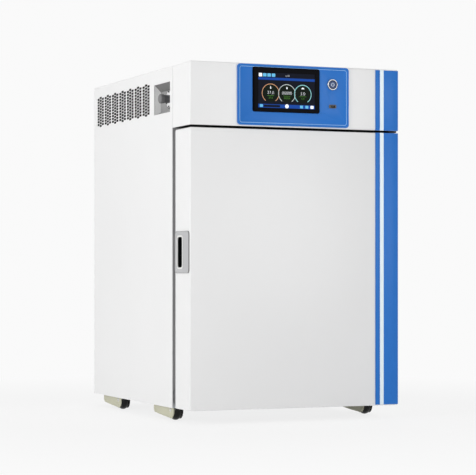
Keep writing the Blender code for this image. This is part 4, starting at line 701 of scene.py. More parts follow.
class GeometryTree:
    """A Geometry Nodes tree with named inputs, made and run in this script."""

    def __init__(self, name: str) -> None:
        """Start an empty tree.

        Args:
            name: Name of the node group.
        """
        self.tree = bpy.data.node_groups.new(name, "GeometryNodeTree")
        self.tree.is_modifier = True
        self.tree.interface.new_socket("Geometry", in_out="INPUT", socket_type="NodeSocketGeometry")
        self.tree.interface.new_socket("Geometry", in_out="OUTPUT", socket_type="NodeSocketGeometry")
        self.entry = self.tree.nodes.new("NodeGroupInput")
        self.exit = self.tree.nodes.new("NodeGroupOutput")

    def size(self, name: str, kind: str = "Float") -> bpy.types.NodeSocket:
        """Add a named input, and return its socket.

        Args:
            name: Name of the input.
            kind: Float, Int, Vector, Material or Object.
        """
        self.tree.interface.new_socket(name, in_out="INPUT", socket_type=f"NodeSocket{kind}")
        return self.entry.outputs[name]

    def add(self, kind: str, settings: dict[str, object] | None = None, **inputs: object) -> bpy.types.Node:
        """Add a node.

        Args:
            kind: Node type without its prefix, or with it for a shared function node.
            settings: Properties of the node, set before its inputs.
            inputs: Values or sockets, by input name with underscores for spaces.

        Returns:
            The new node.
        """
        node = self.tree.nodes.new(kind if kind.startswith("Shader") else f"GeometryNode{kind}")
        for name, value in (settings or {}).items():
            setattr(node, name, value)
        for name, value in inputs.items():
            self.feed(node.inputs[name.replace("_", " ")], value)
        return node

    def feed(self, socket: bpy.types.NodeSocket, value: object) -> None:
        """Link a socket to another one, or set its value."""
        if isinstance(value, bpy.types.NodeSocket):
            self.tree.links.new(value, socket)
        else:
            socket.default_value = value

    def math(self, operation: str, first: object, second: object = 0.0) -> bpy.types.NodeSocket:
        """Return the result of a sum on one or two numbers."""
        node = self.tree.nodes.new("ShaderNodeMath")
        node.operation = operation
        self.feed(node.inputs[0], first)
        self.feed(node.inputs[1], second)
        return node.outputs[0]

    def vector(self, x: object = 0.0, y: object = 0.0, z: object = 0.0) -> bpy.types.NodeSocket:
        """Return a vector of three numbers or sockets."""
        return self.add("ShaderNodeCombineXYZ", X=x, Y=y, Z=z).outputs[0]

    def end(self, geometry: bpy.types.NodeSocket) -> "GeometryTree":
        """Close the tree with Realize Instances and Set Material.

        Args:
            geometry: What the tree has made.

        Returns:
            The tree itself.
        """
        real = self.add("RealizeInstances", Geometry=geometry).outputs[0]
        painted = self.add("SetMaterial", Geometry=real, Material=self.size("Finish", "Material")).outputs[0]
        self.tree.links.new(painted, self.exit.inputs[0])
        return self

    def run(self, host: bpy.types.Mesh, **values: object) -> bpy.types.Mesh:
        """Return what the tree makes of a mesh, as a plain mesh.

        Args:
            host: Mesh that the tree starts from.
            values: Inputs by name, with underscores for spaces.
        """
        sockets = {item.name: item.identifier for item in self.tree.interface.items_tree if item.in_out == "INPUT"}

        def dress(obj: bpy.types.Object) -> None:
            """Put the tree on the working object with its inputs set."""
            modifier = obj.modifiers.new("tree", "NODES")
            modifier.node_group = self.tree
            for name, value in values.items():
                modifier[sockets[name.replace("_", " ")]] = value

        return evaluated(host, dress)


def perforating_tree() -> GeometryTree:
    """Return the tree that punches groups of staggered slots through a flat sheet.

    The host mesh holds the sheet's outline and its larger openings as loops of edges in XY. A staggered column is
    shifted up by a share of the pitch, and has one slot less than the others.
    """
    tree = GeometryTree("punched_sheet")
    columns, rows, groups = tree.size("Columns", "Int"), tree.size("Rows", "Int"), tree.size("Groups", "Int")
    column_pitch, row_pitch, group_pitch = tree.size("Column Pitch"), tree.size("Row Pitch"), tree.size("Group Pitch")
    slot_width, slot_height, slot_radius = tree.size("Slot Width"), tree.size("Slot Height"), tree.size("Slot Radius")
    stagger, centre, thickness = tree.size("Stagger"), tree.size("Centre", "Vector"), tree.size("Thickness")

    width = tree.math("MULTIPLY", tree.math("SUBTRACT", columns, 1.0), column_pitch)
    height = tree.math("MULTIPLY", tree.math("SUBTRACT", rows, 1.0), row_pitch)
    grid = tree.add("MeshGrid", Size_X=width, Size_Y=height, Vertices_X=columns, Vertices_Y=rows)
    split = tree.add("ShaderNodeSeparateXYZ", Vector=tree.add("InputPosition").outputs[0])
    # The middle of the grid is at 0, so an even number keeps the count of columns positive, and a quarter keeps
    # rounding away from the next column.
    from_left = tree.math("ADD", tree.math("DIVIDE", split.outputs["X"], column_pitch), 50.25)
    odd = tree.math("MODULO", tree.math("FLOOR", from_left), 2.0)
    shift = tree.math("MULTIPLY", tree.math("MULTIPLY", odd, row_pitch), stagger)
    last_row = tree.math("SUBTRACT", tree.math("MULTIPLY", height, 0.5), tree.math("MULTIPLY", row_pitch, 0.5))
    on_last = tree.math("GREATER_THAN", split.outputs["Y"], last_row)
    spare = tree.math("MULTIPLY", tree.math("MULTIPLY", odd, on_last), tree.math("GREATER_THAN", stagger, 0.0))
    kept = tree.add("DeleteGeometry", {"domain": "POINT"}, Geometry=grid.outputs["Mesh"], Selection=spare)
    spots = tree.add("SetPosition", Geometry=kept.outputs[0], Offset=tree.vector(0.0, shift))

    slot = tree.add("CurvePrimitiveQuadrilateral", Width=slot_width, Height=slot_height)
    fillet = tree.add(
        "FilletCurve", {"mode": "POLY"}, Curve=slot.outputs[0], Count=3, Radius=slot_radius, Limit_Radius=True
    )
    punched = tree.add("InstanceOnPoints", Points=spots.outputs[0], Instance=fillet.outputs[0])
    group = tree.add("RealizeInstances", Geometry=punched.outputs[0])

    half = tree.math("MULTIPLY", tree.math("SUBTRACT", groups, 1.0), tree.math("MULTIPLY", group_pitch, -0.5))
    line = tree.add("MeshLine", Count=groups, Start_Location=tree.vector(half), Offset=tree.vector(group_pitch))
    rows_of_groups = tree.add("InstanceOnPoints", Points=line.outputs[0], Instance=group.outputs[0])
    real = tree.add("RealizeInstances", Geometry=rows_of_groups.outputs[0])
    moved = tree.add("Transform", Geometry=real.outputs[0], Translation=centre)

    outline = tree.add("MeshToCurve", Mesh=tree.entry.outputs["Geometry"])
    both = tree.add("JoinGeometry")
    tree.tree.links.new(moved.outputs[0], both.inputs[0])
    tree.tree.links.new(outline.outputs[0], both.inputs[0])
    face = tree.add("FillCurve", Curve=both.outputs[0])
    walls = tree.add("ExtrudeMesh", Mesh=face.outputs[0], Offset_Scale=thickness, Individual=False)
    back = tree.add("FlipFaces", Mesh=face.outputs[0])
    solid = tree.add("JoinGeometry")
    tree.tree.links.new(walls.outputs[0], solid.inputs[0])
    tree.tree.links.new(back.outputs[0], solid.inputs[0])
    return tree.end(tree.add("MergeByDistance", Geometry=solid.outputs[0], Distance=0.000001).outputs[0])


def fastening_tree() -> GeometryTree:
    """Return the tree that sets one head on every vertex of its host mesh, turned to a direction."""
    tree = GeometryTree("fasteners")
    head = tree.add("ObjectInfo", Object=tree.size("Head", "Object"))
    direction, size = tree.size("Direction", "Vector"), tree.size("Size")
    turn = tree.tree.nodes.new("FunctionNodeAlignEulerToVector")
    turn.axis = "Z"
    tree.feed(turn.inputs["Vector"], direction)
    heads = tree.add(
        "InstanceOnPoints",
        Points=tree.entry.outputs["Geometry"],
        Instance=head.outputs["Geometry"],
        Rotation=turn.outputs[0],
        Scale=tree.vector(size, size, size),
    )
    return tree.end(heads.outputs[0])


def pleating_tree() -> GeometryTree:
    """Return the tree that folds a round filter medium into pleats, in XY with the folds along Y."""
    tree = GeometryTree("pleated_disc")
    count, radius, depth = tree.size("Pleats", "Int"), tree.size("Radius"), tree.size("Depth")
    across = tree.math("MULTIPLY", radius, 2.0)
    steps = tree.math("ADD", tree.math("MULTIPLY", count, 2.0), 1.0)
    grid = tree.add("MeshGrid", Size_X=across, Size_Y=across, Vertices_X=steps, Vertices_Y=5)
    split = tree.add("ShaderNodeSeparateXYZ", Vector=tree.add("InputPosition").outputs[0])
    x, y = split.outputs["X"], split.outputs["Y"]
    room = tree.math("SUBTRACT", tree.math("MULTIPLY", radius, radius), tree.math("MULTIPLY", x, x))
    chord = tree.math("SQRT", tree.math("MAXIMUM", room, 0.0))
    squeezed = tree.math("MULTIPLY", tree.math("DIVIDE", y, radius), chord)
    pitch = tree.math("DIVIDE", radius, count)
    fold = tree.math("PINGPONG", tree.math("ADD", x, radius), pitch)
    lift = tree.math("MULTIPLY", tree.math("DIVIDE", fold, pitch), depth)
    bent = tree.add("SetPosition", Geometry=grid.outputs["Mesh"], Position=tree.vector(x, squeezed, lift))
    return tree.end(bent.outputs[0])


def ribbing_tree() -> GeometryTree:
    """Return the tree that sets grip ribs round a drum that stands on +Z."""
    tree = GeometryTree("grip_ribs")
    count, radius = tree.size("Ribs", "Int"), tree.size("Radius")
    length, width = tree.size("Length"), tree.size("Width")
    ring = tree.add("MeshCircle", Vertices=count, Radius=radius)
    rib = tree.add("MeshUVSphere", Segments=8, Rings=6, Radius=0.5)
    shaped = tree.add("Transform", Geometry=rib.outputs[0], Scale=tree.vector(width, width, length))
    ribs = tree.add("InstanceOnPoints", Points=ring.outputs[0], Instance=shaped.outputs[0])
    return tree.end(ribs.outputs[0])


class Fitter:
    """Puts pieces and finishes on the frame, and reports them."""

    def __init__(self) -> None:
        """Make the trees that several sub-assemblies share."""
        self.perforating = perforating_tree()
        self.fastening = fastening_tree()
        self.pleating = pleating_tree()
        self.ribbing = ribbing_tree()
        self.count = 0

    def place(
        self, name: str, mesh: bpy.types.Mesh, body: str, finish: Finish, *nodes: str, sharp: float = SMOOTH_ANGLE
    ) -> bpy.types.Object:
        """Put a finished piece on a body.

        Args:
            name: Name of the piece.
            mesh: Its mesh, in the row frame.
            body: CAD body that it rides on.
            finish: Its finish.
            nodes: CAD nodes that it stands for.
            sharp: Angle in degrees from which its edges are sharp.

        Returns:
            The piece.
        """
        mesh.name = name
        mesh.materials.clear()
        mesh.materials.append(finish.material())
        piece = bpy.data.objects.new(name, smoothed(mesh, sharp))
        bpy.context.scene.collection.objects.link(piece)
        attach(piece, str(getattr(body, "value", body)))
        if nodes:
            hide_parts(*nodes)
        self.count += 1
        log.info("piece %s: %d faces, %s", name, len(mesh.polygons), finish.name)
        return piece

    def dress(self, finish: Finish, *nodes: str) -> None:
        """Give CAD nodes a finish, and leave their shape as it is."""
        for node in nodes:
            mesh = frame["nodes"][node].data
            mesh.materials.clear()
            mesh.materials.append(finish.material())
            log.info("node %s: %s", node, finish.name)

    def refine(self, finish: Finish, *nodes: str, edge: float = 0.0) -> None:
        """Stand a smoothly shaded copy in for each CAD node.

        Args:
            finish: Finish of the copies.
            nodes: CAD nodes.
            edge: Width of a small round on their sharp edges.
        """
        for node in nodes:
            bm = bmesh.new()
            bm.from_mesh(frame["nodes"][node].data)
            bmesh.ops.remove_doubles(bm, verts=bm.verts, dist=WELD_DISTANCE)
            bmesh.ops.dissolve_limit(bm, angle_limit=math.radians(FLAT_ANGLE), verts=bm.verts, edges=bm.edges)
            mesh = mesh_of(bm)
            if edge:
                mesh = evaluated(mesh, lambda obj: self.round_edges(obj, edge))
            sharp = SMOOTH_ANGLE_ROUNDED if edge else SMOOTH_ANGLE
            self.place(f"{node}_finished", mesh, self.body_of(node), finish, node, sharp=sharp)

    @staticmethod
    def round_edges(obj: bpy.types.Object, width: float) -> None:
        """Put a small bevel on an object's sharp edges."""
        modifier = obj.modifiers.new("edges", "BEVEL")
        modifier.width = width
        modifier.segments = 2
        modifier.limit_method = "ANGLE"
        modifier.angle_limit = math.radians(EDGE_ANGLE)
        modifier.use_clamp_overlap = True

    @staticmethod
    def body_of(node: str) -> str:
        """Return the name of the body that a CAD node rides on."""
        bodies = frame["record"]["behaviour"]["bodies"]
        return next(body for body, members in bodies.items() if node in members)

    def fasten(
        self, name: str, spots: list[Vector], facing: Vector, radius: float, body: str, finish: Finish
    ) -> None:
        """Set socket-head screws on a list of points.

        Args:
            name: Name of the piece that holds them all.
            spots: Points on the face that they sit on.
            facing: Direction that the heads face.
            radius: Radius of a head.
            body: Body that they ride on.
            finish: Their finish.
        """
        profile = [(0, 0.25), (0.42, 0.25), (0.5, 0.62), (0.8, 0.62), (0.96, 0.42), (1, 0.2), (1, -0.05), (0, -0.05)]
        head = bpy.data.objects.new("screw_head", smoothed(lathe(profile, Axis.Z, Vector(), 18)))
        bpy.context.scene.collection.objects.link(head)
        host = bpy.data.meshes.new("spots")
        host.from_pydata([tuple(spot) for spot in spots], [], [])
        mesh = self.fastening.run(host, Head=head, Direction=tuple(facing), Size=radius, Finish=finish.material())
        bpy.data.objects.remove(head, do_unlink=True)
        self.place(name, mesh, body, finish)

    def punch(
        self, outline: Outline, openings: tuple[Outline, ...], plane: Plane, start: float, **sizes: object
    ) -> bpy.types.Mesh:
        """Return a sheet with slots punched through it.

        Args:
            outline: Outer edge of the sheet.
            openings: Outlines of its larger openings.
            plane: Plane it lies in.
            start: Where its thickness begins.
            sizes: Inputs of the punching tree.
        """
        host = bpy.data.meshes.new("loops")
        points: list[tuple[float, float, float]] = []
        edges: list[tuple[int, int]] = []
        for ring in (outline, *openings):
            first = len(points)
            points += [(u, v, 0.0) for u, v in ring]
            edges += [(first + i, first + (i + 1) % len(ring)) for i in range(len(ring))]
        host.from_pydata(points, edges, [])
        mesh = self.perforating.run(host, Finish=WHITE_STEEL.material(), **sizes)
        mesh.transform(plane.matrix(start))
        bm = bmesh.new()
        bm.from_mesh(mesh)
        bmesh.ops.recalc_face_normals(bm, faces=bm.faces)
        return mesh_of(bm)


@dataclass
class Casing:
    """Folded white casing, its base tray and its rear cover.

    Attributes:
        sheet: Thickness of the sheet.
        punched_sheet: Thickness of the punched left side.
        corner: Outer radius of the folds.
        recess_flange: How far the port recess reaches behind the sheet round its opening.
        vent_groups: Groups of vent slots.
        vent_columns: Columns of slots in a group.
        vent_rows: Slots in the middle column of a group. The outer columns have one less.
        vent_gap: Plain strip between two groups, as a share of their pitch.
        slot_width: Width of a slot, as a share of the columns' pitch.
        slot_height: Height of a slot, as a share of the rows' pitch.
        slot_radius: Corner radius of a slot, as a share of the rows' pitch.
        vent_front: Distance of the first group from the cabinet's front plane.
        vent_back: Distance of the last group's end from the same plane.
        vent_low: Height of the lowest slots over the casing's bottom.
        vent_high: Height of the highest slots over it.
        gauze_thickness: Thickness of the black gauze behind the vents, which paints the shade seen through them.
        gauze_margin: How far the gauze reaches beyond the vents.
        screw_radius: Radius of the rear cover's screw heads.
        screw_inset: Distance of these screws from the cover's edges.
    """

    sheet: float = 0.0015
    punched_sheet: float = 0.0006
    corner: float = 0.004
    recess_flange: float = 0.006
    vent_groups: int = 7
    vent_columns: int = 3
    vent_rows: int = 11
    vent_gap: float = 0.10
    slot_width: float = 0.94
    slot_height: float = 0.77
    slot_radius: float = 0.14
    vent_front: float = 0.287
    vent_back: float = 0.711
    vent_low: float = 0.7365
    vent_high: float = 0.8215
    gauze_thickness: float = 0.00015
    gauze_margin: float = 0.004
    screw_radius: float = 0.0036
    screw_inset: float = 0.011

    def left_side(self, fitter: Fitter) -> bpy.types.Mesh:
        """Return the punched left side, up to the fold.

        Args:
            fitter: Holds the punching tree.
        """
        low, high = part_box("cabinet_wrap")
        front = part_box("door_shell")[0].y
        recess_low, recess_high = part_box("side_port_recess")
        flange = self.recess_flange
        opening = [
            (recess_low.y + flange, recess_low.z + flange),
            (recess_high.y - flange, recess_low.z + flange),
            (recess_high.y - flange, recess_high.z - flange),
            (recess_low.y + flange, recess_high.z - flange),
        ]
        top = high.z - self.corner
        outline = [(low.y, low.z), (high.y, low.z), (high.y, top), (low.y, top)]
        group_pitch = (self.vent_back - self.vent_front) / (self.vent_groups - self.vent_gap)
        column_pitch = group_pitch * (1 - self.vent_gap) / self.vent_columns
        row_pitch = (self.vent_high - self.vent_low) / self.vent_rows
        middle = front + (self.vent_front + self.vent_back) / 2
        height = low.z + (self.vent_low + self.vent_high) / 2
        return fitter.punch(
            outline, (opening,), Plane.YZ, low.x,
            Columns=self.vent_columns, Rows=self.vent_rows, Groups=self.vent_groups, Column_Pitch=column_pitch,
            Row_Pitch=row_pitch, Group_Pitch=group_pitch, Slot_Width=column_pitch * self.slot_width,
            Slot_Height=row_pitch * self.slot_height, Slot_Radius=row_pitch * self.slot_radius, Stagger=0.5,
            Centre=(middle, height, 0.0), Thickness=self.punched_sheet,
        )

    def gauze(self, fitter: Fitter) -> None:
        """Stretch a fine black gauze behind the vents, on the sheet's inside: painted shade for the dark inside seen
        through the slots.
        """
        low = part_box("cabinet_wrap")[0]
        front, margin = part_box("door_shell")[0].y, self.gauze_margin
        first = (front + self.vent_front - margin, low.z + self.vent_low - margin)
        last = (front + self.vent_back + margin, low.z + self.vent_high + margin)
        start = low.x + self.punched_sheet + FILM_GAP
        gauze = plate(rounded(*first, *last, margin), Plane.YZ, start, self.gauze_thickness)
        fitter.place("vent_gauze", gauze, Body.CABINET, VENT_SHADE_GAUZE)

    def top_and_right(self) -> bpy.types.Mesh:
        """Return the rest of the casing: the top, both folds and the right side."""
        low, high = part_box("cabinet_wrap")

        def path(inset: float) -> Outline:
            """Return the sheet's path at a distance in from its outside."""
            radius, height = self.corner - inset, high.z - self.corner
            left = arc_points((low.x + self.corner, height), radius, 180, 90, 8)
            right = arc_points((high.x - self.corner, height), radius, 90, 0, 8)
            return [*left, *right, (high.x - inset, low.z)]

        return plate(path(0.0) + path(self.sheet)[::-1], Plane.XZ, low.y, high.y - low.y)

    def build(self, fitter: Fitter) -> None:
        """Make the casing and finish the nodes round it."""
        casing = joined(self.left_side(fitter), self.top_and_right())
        fitter.place("casing", casing, Body.CABINET, WHITE_STEEL, "cabinet_wrap")
        fitter.refine(WHITE_STEEL, "rear_cover")
        fitter.refine(ZINC, "base_frame", "deck_panel")
        fitter.dress(FOAM, "cabinet_insulation", "door_insulation")
        self.gauze(fitter)
        self.rear_screws(fitter)

    def rear_screws(self, fitter: Fitter) -> None:
        """Screw the rear cover along its edges."""
        low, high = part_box("rear_cover")
        inset, bays = self.screw_inset, 3
        spots = []
        for i in range(bays + 1):
            z = low.z + inset + (high.z - low.z - 2 * inset) * i / bays
            spots += [Vector((low.x + inset, high.y, z)), Vector((high.x - inset, high.y, z))]
        for i in range(1, bays):
            x = low.x + (high.x - low.x) * i / bays
            spots += [Vector((x, high.y, low.z + inset)), Vector((x, high.y, high.z - inset))]
        fitter.fasten("rear_cover_screws", spots, BACKWARD, self.screw_radius, Body.CABINET, ZINC)


@dataclass
class FrontBands:
    """Blue bands down the right of the head and the door, with the white line in their groove.

    Attributes:
        line_from_edge: Distance of the line from the band's left edge.
        line_width: Width of the line.
        line_play: Play between the line and its groove, and the round on the line's edges.
        groove: Depth of the groove.
        film: Thickness of the film that runs from a band's end to the gap.
    """

    line_from_edge: float = 0.0124
    line_width: float = 0.0108
    line_play: float = 0.0001
    groove: float = 0.0006
    film: float = 0.0006

    def build(self, fitter: Fitter) -> None:
        """Finish both bands and lay the white line in them."""
        for node, name, body in (("head_trim", "head", Body.CABINET), ("door_trim", "door", Body.OUTER_DOOR)):
            fitter.refine(BLUE_PLASTIC, node, edge=0.0002)
            low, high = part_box(node)
            left = low.x + self.line_from_edge + self.line_play
            right = left + self.line_width - 2 * self.line_play
            near, far = low.y + self.line_play, low.y + self.groove - SEAL_GAP
            line = block((left, near, low.z), (right, far, high.z), edge=self.line_play, segments=1)
            fitter.place(f"{name}_white_line", line, body, WHITE_LINE)
            self.edge_strip(fitter, name, body)

    def edge_strip(self, fitter: Fitter, name: str, body: Body) -> None:
        """Run a band and its line out to the gap between the head and the door.

        Args:
            fitter: Places the pieces.
            name: Which band it is for.
            body: Body that the band rides on.
        """
        low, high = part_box(f"{name}_trim")
        if name == "head":
            bottom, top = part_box("head_housing")[0].z, low.z
        else:
            bottom, top = high.z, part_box("door_shell")[1].z
        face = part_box("door_shell")[0].y
        near, far = face - self.film, face - FILM_GAP
        left = low.x + self.line_from_edge
        right = left + self.line_width
        blue = [block((x0, near, bottom), (x1, far, top)) for x0, x1 in ((low.x, left), (right, high.x))]
        fitter.place(f"{name}_band_end", joined(*blue), body, BLUE_PLASTIC)
        fitter.place(f"{name}_line_end", block((left, near, bottom), (right, far, top)), body, WHITE_LINE)


@dataclass
class ControlHead:
    """Control head: housing, control plate, power button and data socket.

    Attributes:
        icon_radius: Radius of the mark on the button.
        icon_width: Width of its stroke.
        icon_relief: Thickness of the mark.
        icon_front: How far the mark's front stands before the button's face.
        line_inset: Distance of the pale line from the control plate's edge. The line is a painted highlight on the
            bevel of the plate's rim.
        line_width: Width of that line.
        line_radius: Radius of its corners.
        line_thickness: Thickness of the pale line.
        line_front: How far its front stands before the field.
        field_depth: Depth of the control plate's field behind its rim.
    """

    icon_radius: float = 0.0038
    icon_width: float = 0.0008
    icon_relief: float = 0.00012
    icon_front: float = 0.00022
    line_inset: float = 0.0058
    line_width: float = 0.0011
    line_radius: float = 0.0060
    line_thickness: float = 0.0001
    line_front: float = 0.00008
    field_depth: float = 0.0010

    def build(self, fitter: Fitter) -> None:
        """Finish the head's nodes and add its small pieces."""
        # The head takes the lighter copy of the white powder coat, which paints its brighter light
        fitter.refine(HEAD_WHITE_LIT, "head_housing")
        fitter.refine(BLUE_PLASTIC, "control_panel", edge=0.0004)
        fitter.refine(BLACK_GLOSS, "display_bezel", edge=0.0003)
        fitter.refine(RING_METAL, "power_button_ring", edge=0.0002)
        fitter.refine(DARK_GREY, "usb_socket", edge=0.00015)
        fitter.refine(BOARD, "control_board")
        self.panel_line(fitter)
        self.under_seal(fitter)
        self.button(fitter)
        self.socket_contacts(fitter)

    def panel_line(self, fitter: Fitter) -> None:
        """Draw the pale line round the control plate's field: a painted highlight along the bevel of its rim."""
        low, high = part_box("control_panel")

        def loop(inset: float) -> Outline:
            """Return the line's edge at an inset from the plate's edge."""
            radius = self.line_radius - (inset - self.line_inset)
            return rounded(low.x + inset, low.z + inset, high.x - inset, high.z - inset, radius)

        outer, inner = loop(self.line_inset), loop(self.line_inset + self.line_width)
        start = low.y + self.field_depth - self.line_front
        line = plate(outer, Plane.XZ, start, self.line_thickness, (inner,))
        fitter.place("panel_line", line, Body.CABINET, PANEL_HIGHLIGHT_BLUE)

    def under_seal(self, fitter: Fitter) -> None:
        """Stick a thin black strip under the head, over the gap above the door: painted shade, which makes the gap
        look dark.
        """
        low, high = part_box("head_housing")
        inset, rear_inset, thickness = 0.0035, 0.012, 0.00022
        first = (low.x + inset, low.y + inset, low.z - thickness)
        last = (high.x - inset, high.y - rear_inset, low.z - SEAL_GAP)
        fitter.place("head_under_seal", block(first, last), Body.CABINET, GAP_SHADE_BLACK)

    def button(self, fitter: Fitter) -> None:
        """Turn the button's face with a dark ring round a brushed middle, and put the on-off mark on it."""
        low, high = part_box("power_button")
        x, z = (low.x + high.x) / 2, (low.z + high.z) / 2
        radius = (high.x - low.x) / 2
        fitter.refine(BUTTON_RIM, "power_button", edge=0.0003)
        disc = [(0, -0.0001), (radius * 0.66, -0.0001), (radius * 0.7, 0.0002), (0, 0.0002)]
        fitter.place("button_face", lathe(disc, Axis.Y, Vector((x, low.y, z))), Body.BUTTON, BUTTON_BLUE)
        icon, half = self.icon_radius, self.icon_width / 2
        arc = ring_arc((x, z), icon - half, icon + half, 125, 415)
        bar = rounded(x - half, z + icon * 0.15, x + half, z + icon * 1.25, half * 0.9, 4)
        mark = [plate(outline, Plane.XZ, low.y - self.icon_front, self.icon_relief) for outline in (arc, bar)]
        fitter.place("button_mark", joined(*mark), Body.BUTTON, WHITE_LINE)

    def socket_contacts(self, fitter: Fitter) -> None:
        """Line the data socket with its steel shell and put four contacts on its tongue."""
        low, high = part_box("usb_socket")
        x, z = (low.x + high.x) / 2, (low.z + high.z) / 2
        half_w, half_h, wall = 0.0065, 0.0027, 0.0002
        outer = centred((x, z), half_w, half_h, 0.0005, 3)
        inner = centred((x, z), half_w - wall, half_h - wall, 0.0004, 3)
        shell = plate(outer, Plane.XZ, low.y + 0.0002, 0.0115, (inner,))
        fitter.place("socket_shell", shell, Body.CABINET, DARK_ZINC_AND_SHADE)
        width, pitch, first = 0.0013, 0.0025, x - 0.0044
        near, far, under, over = low.y + 0.0032, low.y + 0.0105, z + 0.00022, z + 0.00041
        contacts = []
        for i in range(4):
            left = first + pitch * i
            contacts.append(block((left, near, under), (left + width, far, over), 0.00004, 1))
        fitter.place("socket_contacts", joined(*contacts), Body.CABINET, BRASS)


@dataclass
class Gauge:
    """One dial of the display.

    Attributes:
        x: Distance of its centre from the screen's left edge.
        finish: Finish of its ring.
        value: Large digits.
        target: Small green digits under them.
    """

    x: float
    finish: Finish
    value: str
    target: str


@dataclass
class Display:
    """Lit display with three dials between a top bar and a bottom bar.

    Attributes:
        layer: Thickness of one drawn layer.
        ink: Thickness of the signs and the line on a dial.
        margin: Dark border round what is lit.
        dial_height: Height of the dials' centres over the screen's lower edge.
        dial_radius: Outer radius of a dial.
        dial_width: Width of its ring.
        value_height: Height of a dial's large digits.
        value_rise: Height of their middle over the dial's centre.
        target_height: Height of a dial's green digits.
        target_drop: Depth of their middle under the dial's centre.
        sign_rise: Height of a dial's sign over its centre.
        clock_height: Height of the clock's digits.
    """

    layer: float = 0.00005
    ink: float = 0.00003
    margin: float = 0.0005
    dial_height: float = 0.0365
    dial_radius: float = 0.0235
    dial_width: float = 0.0015
    value_height: float = 0.0078
    value_rise: float = 0.001
    target_height: float = 0.0048
    target_drop: float = 0.0115
    sign_rise: float = 0.0145
    clock_height: float = 0.0038

    def __post_init__(self) -> None:
        """Read the screen's place, and set the dials."""
        low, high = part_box("display_screen")
        self.left, self.bottom, self.face = low.x, low.z, low.y
        self.width, self.height = high.x - low.x, high.z - low.z
        self.gauges = (
            Gauge(0.0335, LIT_ORANGE, "37.0", "37.0"),
            Gauge(0.0775, LIT_PALE, "00000", "00000"),
            Gauge(0.1205, LIT_CYAN, "5.0", "5.0"),
        )

    def bar(self, u0: float, v0: float, u1: float, v1: float, depth: int, radius: float = 0.0) -> bpy.types.Mesh:
        """Return a flat patch of the screen.

        Args:
            u0: Left edge from the screen's left.
            v0: Lower edge from the screen's bottom.
            u1: Right edge.
            v1: Upper edge.
            depth: Layer that it is drawn on.
            radius: Corner radius.
        """
        left, bottom = self.left, self.bottom
        outline = rounded(left + u0, bottom + v0, left + u1, bottom + v1, max(radius, 0.0001), 5)
        return plate(outline, Plane.XZ, self.face - self.layer * (depth + 1), self.layer)

    def drawn(self, outline: Outline, start: float) -> bpy.types.Mesh:
        """Return a thin sign or line in front of a face.

        Args:
            outline: Outer edge.
            start: Y of the face that it stands on.
        """
        return plate(outline, Plane.XZ, start - self.ink, self.ink)

    def build(self, fitter: Fitter) -> None:
        """Finish the screen and draw its bars, tiles and dials."""
        fitter.refine(SCREEN_OFF, "display_screen")
        body, wide, high, rim = Body.CABINET, self.width, self.height, self.margin
        fitter.place("screen_ground", self.bar(rim, rim, wide - rim, high - rim, 0), body, LIT_DARK)
        upper = self.bar(rim, high - 0.0185, wide - rim, high - 0.0125, 1)
        lower = self.bar(rim, rim, wide - rim, 0.0095, 1)
        fitter.place("screen_bars", joined(upper, lower), body, LIT_BLUE)
        fitter.place("screen_track", self.bar(0.0145, 0.0022, 0.0590, 0.0078, 2), body, LIT_DARK)
        tiles = [self.bar(u, high - 0.0105, u + 0.0095, high - 0.0025, 1, 0.001) for u in (0.0130, 0.0248, 0.0366)]
        tiles += [self.bar(u, 0.0018, u + 0.0082, 0.0086, 2, 0.001) for u in (0.0045, 0.1130, 0.1275)]
        fitter.place("screen_tiles", joined(*tiles), body, LIT_SKY)
        self.white_marks(fitter)
        for number, gauge in enumerate(self.gauges):
            self.dial(fitter, number, gauge)

    def white_marks(self, fitter: Fitter) -> None:
        """Draw the white tiles, the round button and the clock's digits."""
        high = self.height
        button = circle((self.left + 0.0775, self.bottom + 0.0055), 0.0050, 40)
        clock_at = (self.left + 0.0790, self.bottom + high - 0.0068)
        marks = [
            self.bar(0.0020, high - 0.0108, 0.0108, high - 0.0022, 1, 0.0015),
            self.bar(0.1415, 0.0014, 0.1500, 0.0090, 2, 0.0015),
            plate(button, Plane.XZ, self.face - 4 * self.layer, self.layer),
            digits("12:00", self.clock_height, clock_at, self.face - self.layer),
        ]
        fitter.place("screen_white_marks", joined(*marks), Body.CABINET, LIT_WHITE)

    def dial(self, fitter: Fitter, number: int, gauge: Gauge) -> None:
        """Draw one dial: its dark well, its ring and its digits.

        Args:
            fitter: Places the pieces.
            number: Counts the dials from the left.
            gauge: What the dial shows.
        """
        x, z = self.left + gauge.x, self.bottom + self.dial_height
        radius, body = self.dial_radius - self.dial_width, Body.CABINET
        depth = self.face - self.layer * (3 + number)
        front = depth - self.layer
        well = plate(circle((x, z), radius, 48), Plane.XZ, depth, self.layer)
        fitter.place(f"dial_{number}_well", well, body, LIT_WELL)
        ring = plate(ring_arc((x, z), radius, self.dial_radius, -55, 235), Plane.XZ, front, self.layer)
        fitter.place(f"dial_{number}_ring", ring, body, gauge.finish)
        value = digits(gauge.value, self.value_height, (x, z + self.value_rise), front)
        sign = self.symbol(number, (x, z + self.sign_rise), front)
        fitter.place(f"dial_{number}_value", joined(value, sign), body, LIT_WHITE)
        target = digits(gauge.target, self.target_height, (x, z - self.target_drop), front)
        line = self.drawn(centred((x, z - 0.0059), 0.0095, 0.0003, 0.0002, 2), front)
        fitter.place(f"dial_{number}_target", joined(target, line), body, LIT_GREEN)

    def symbol(self, number: int, centre: Point2, start: float) -> bpy.types.Mesh:
        """Return the small sign over a dial's digits: a thermometer, a drop or a cloud.

        Args:
            number: Which dial it is for.
            centre: Middle of the sign, as X and Z.
            start: Y of the face that it stands on.
        """
        u, v = centre

        def disc(du: float, dv: float, radius: float) -> bpy.types.Mesh:
            """Return a round patch at an offset from the sign's centre."""
            return self.drawn(circle((u + du, v + dv), radius, 20), start)

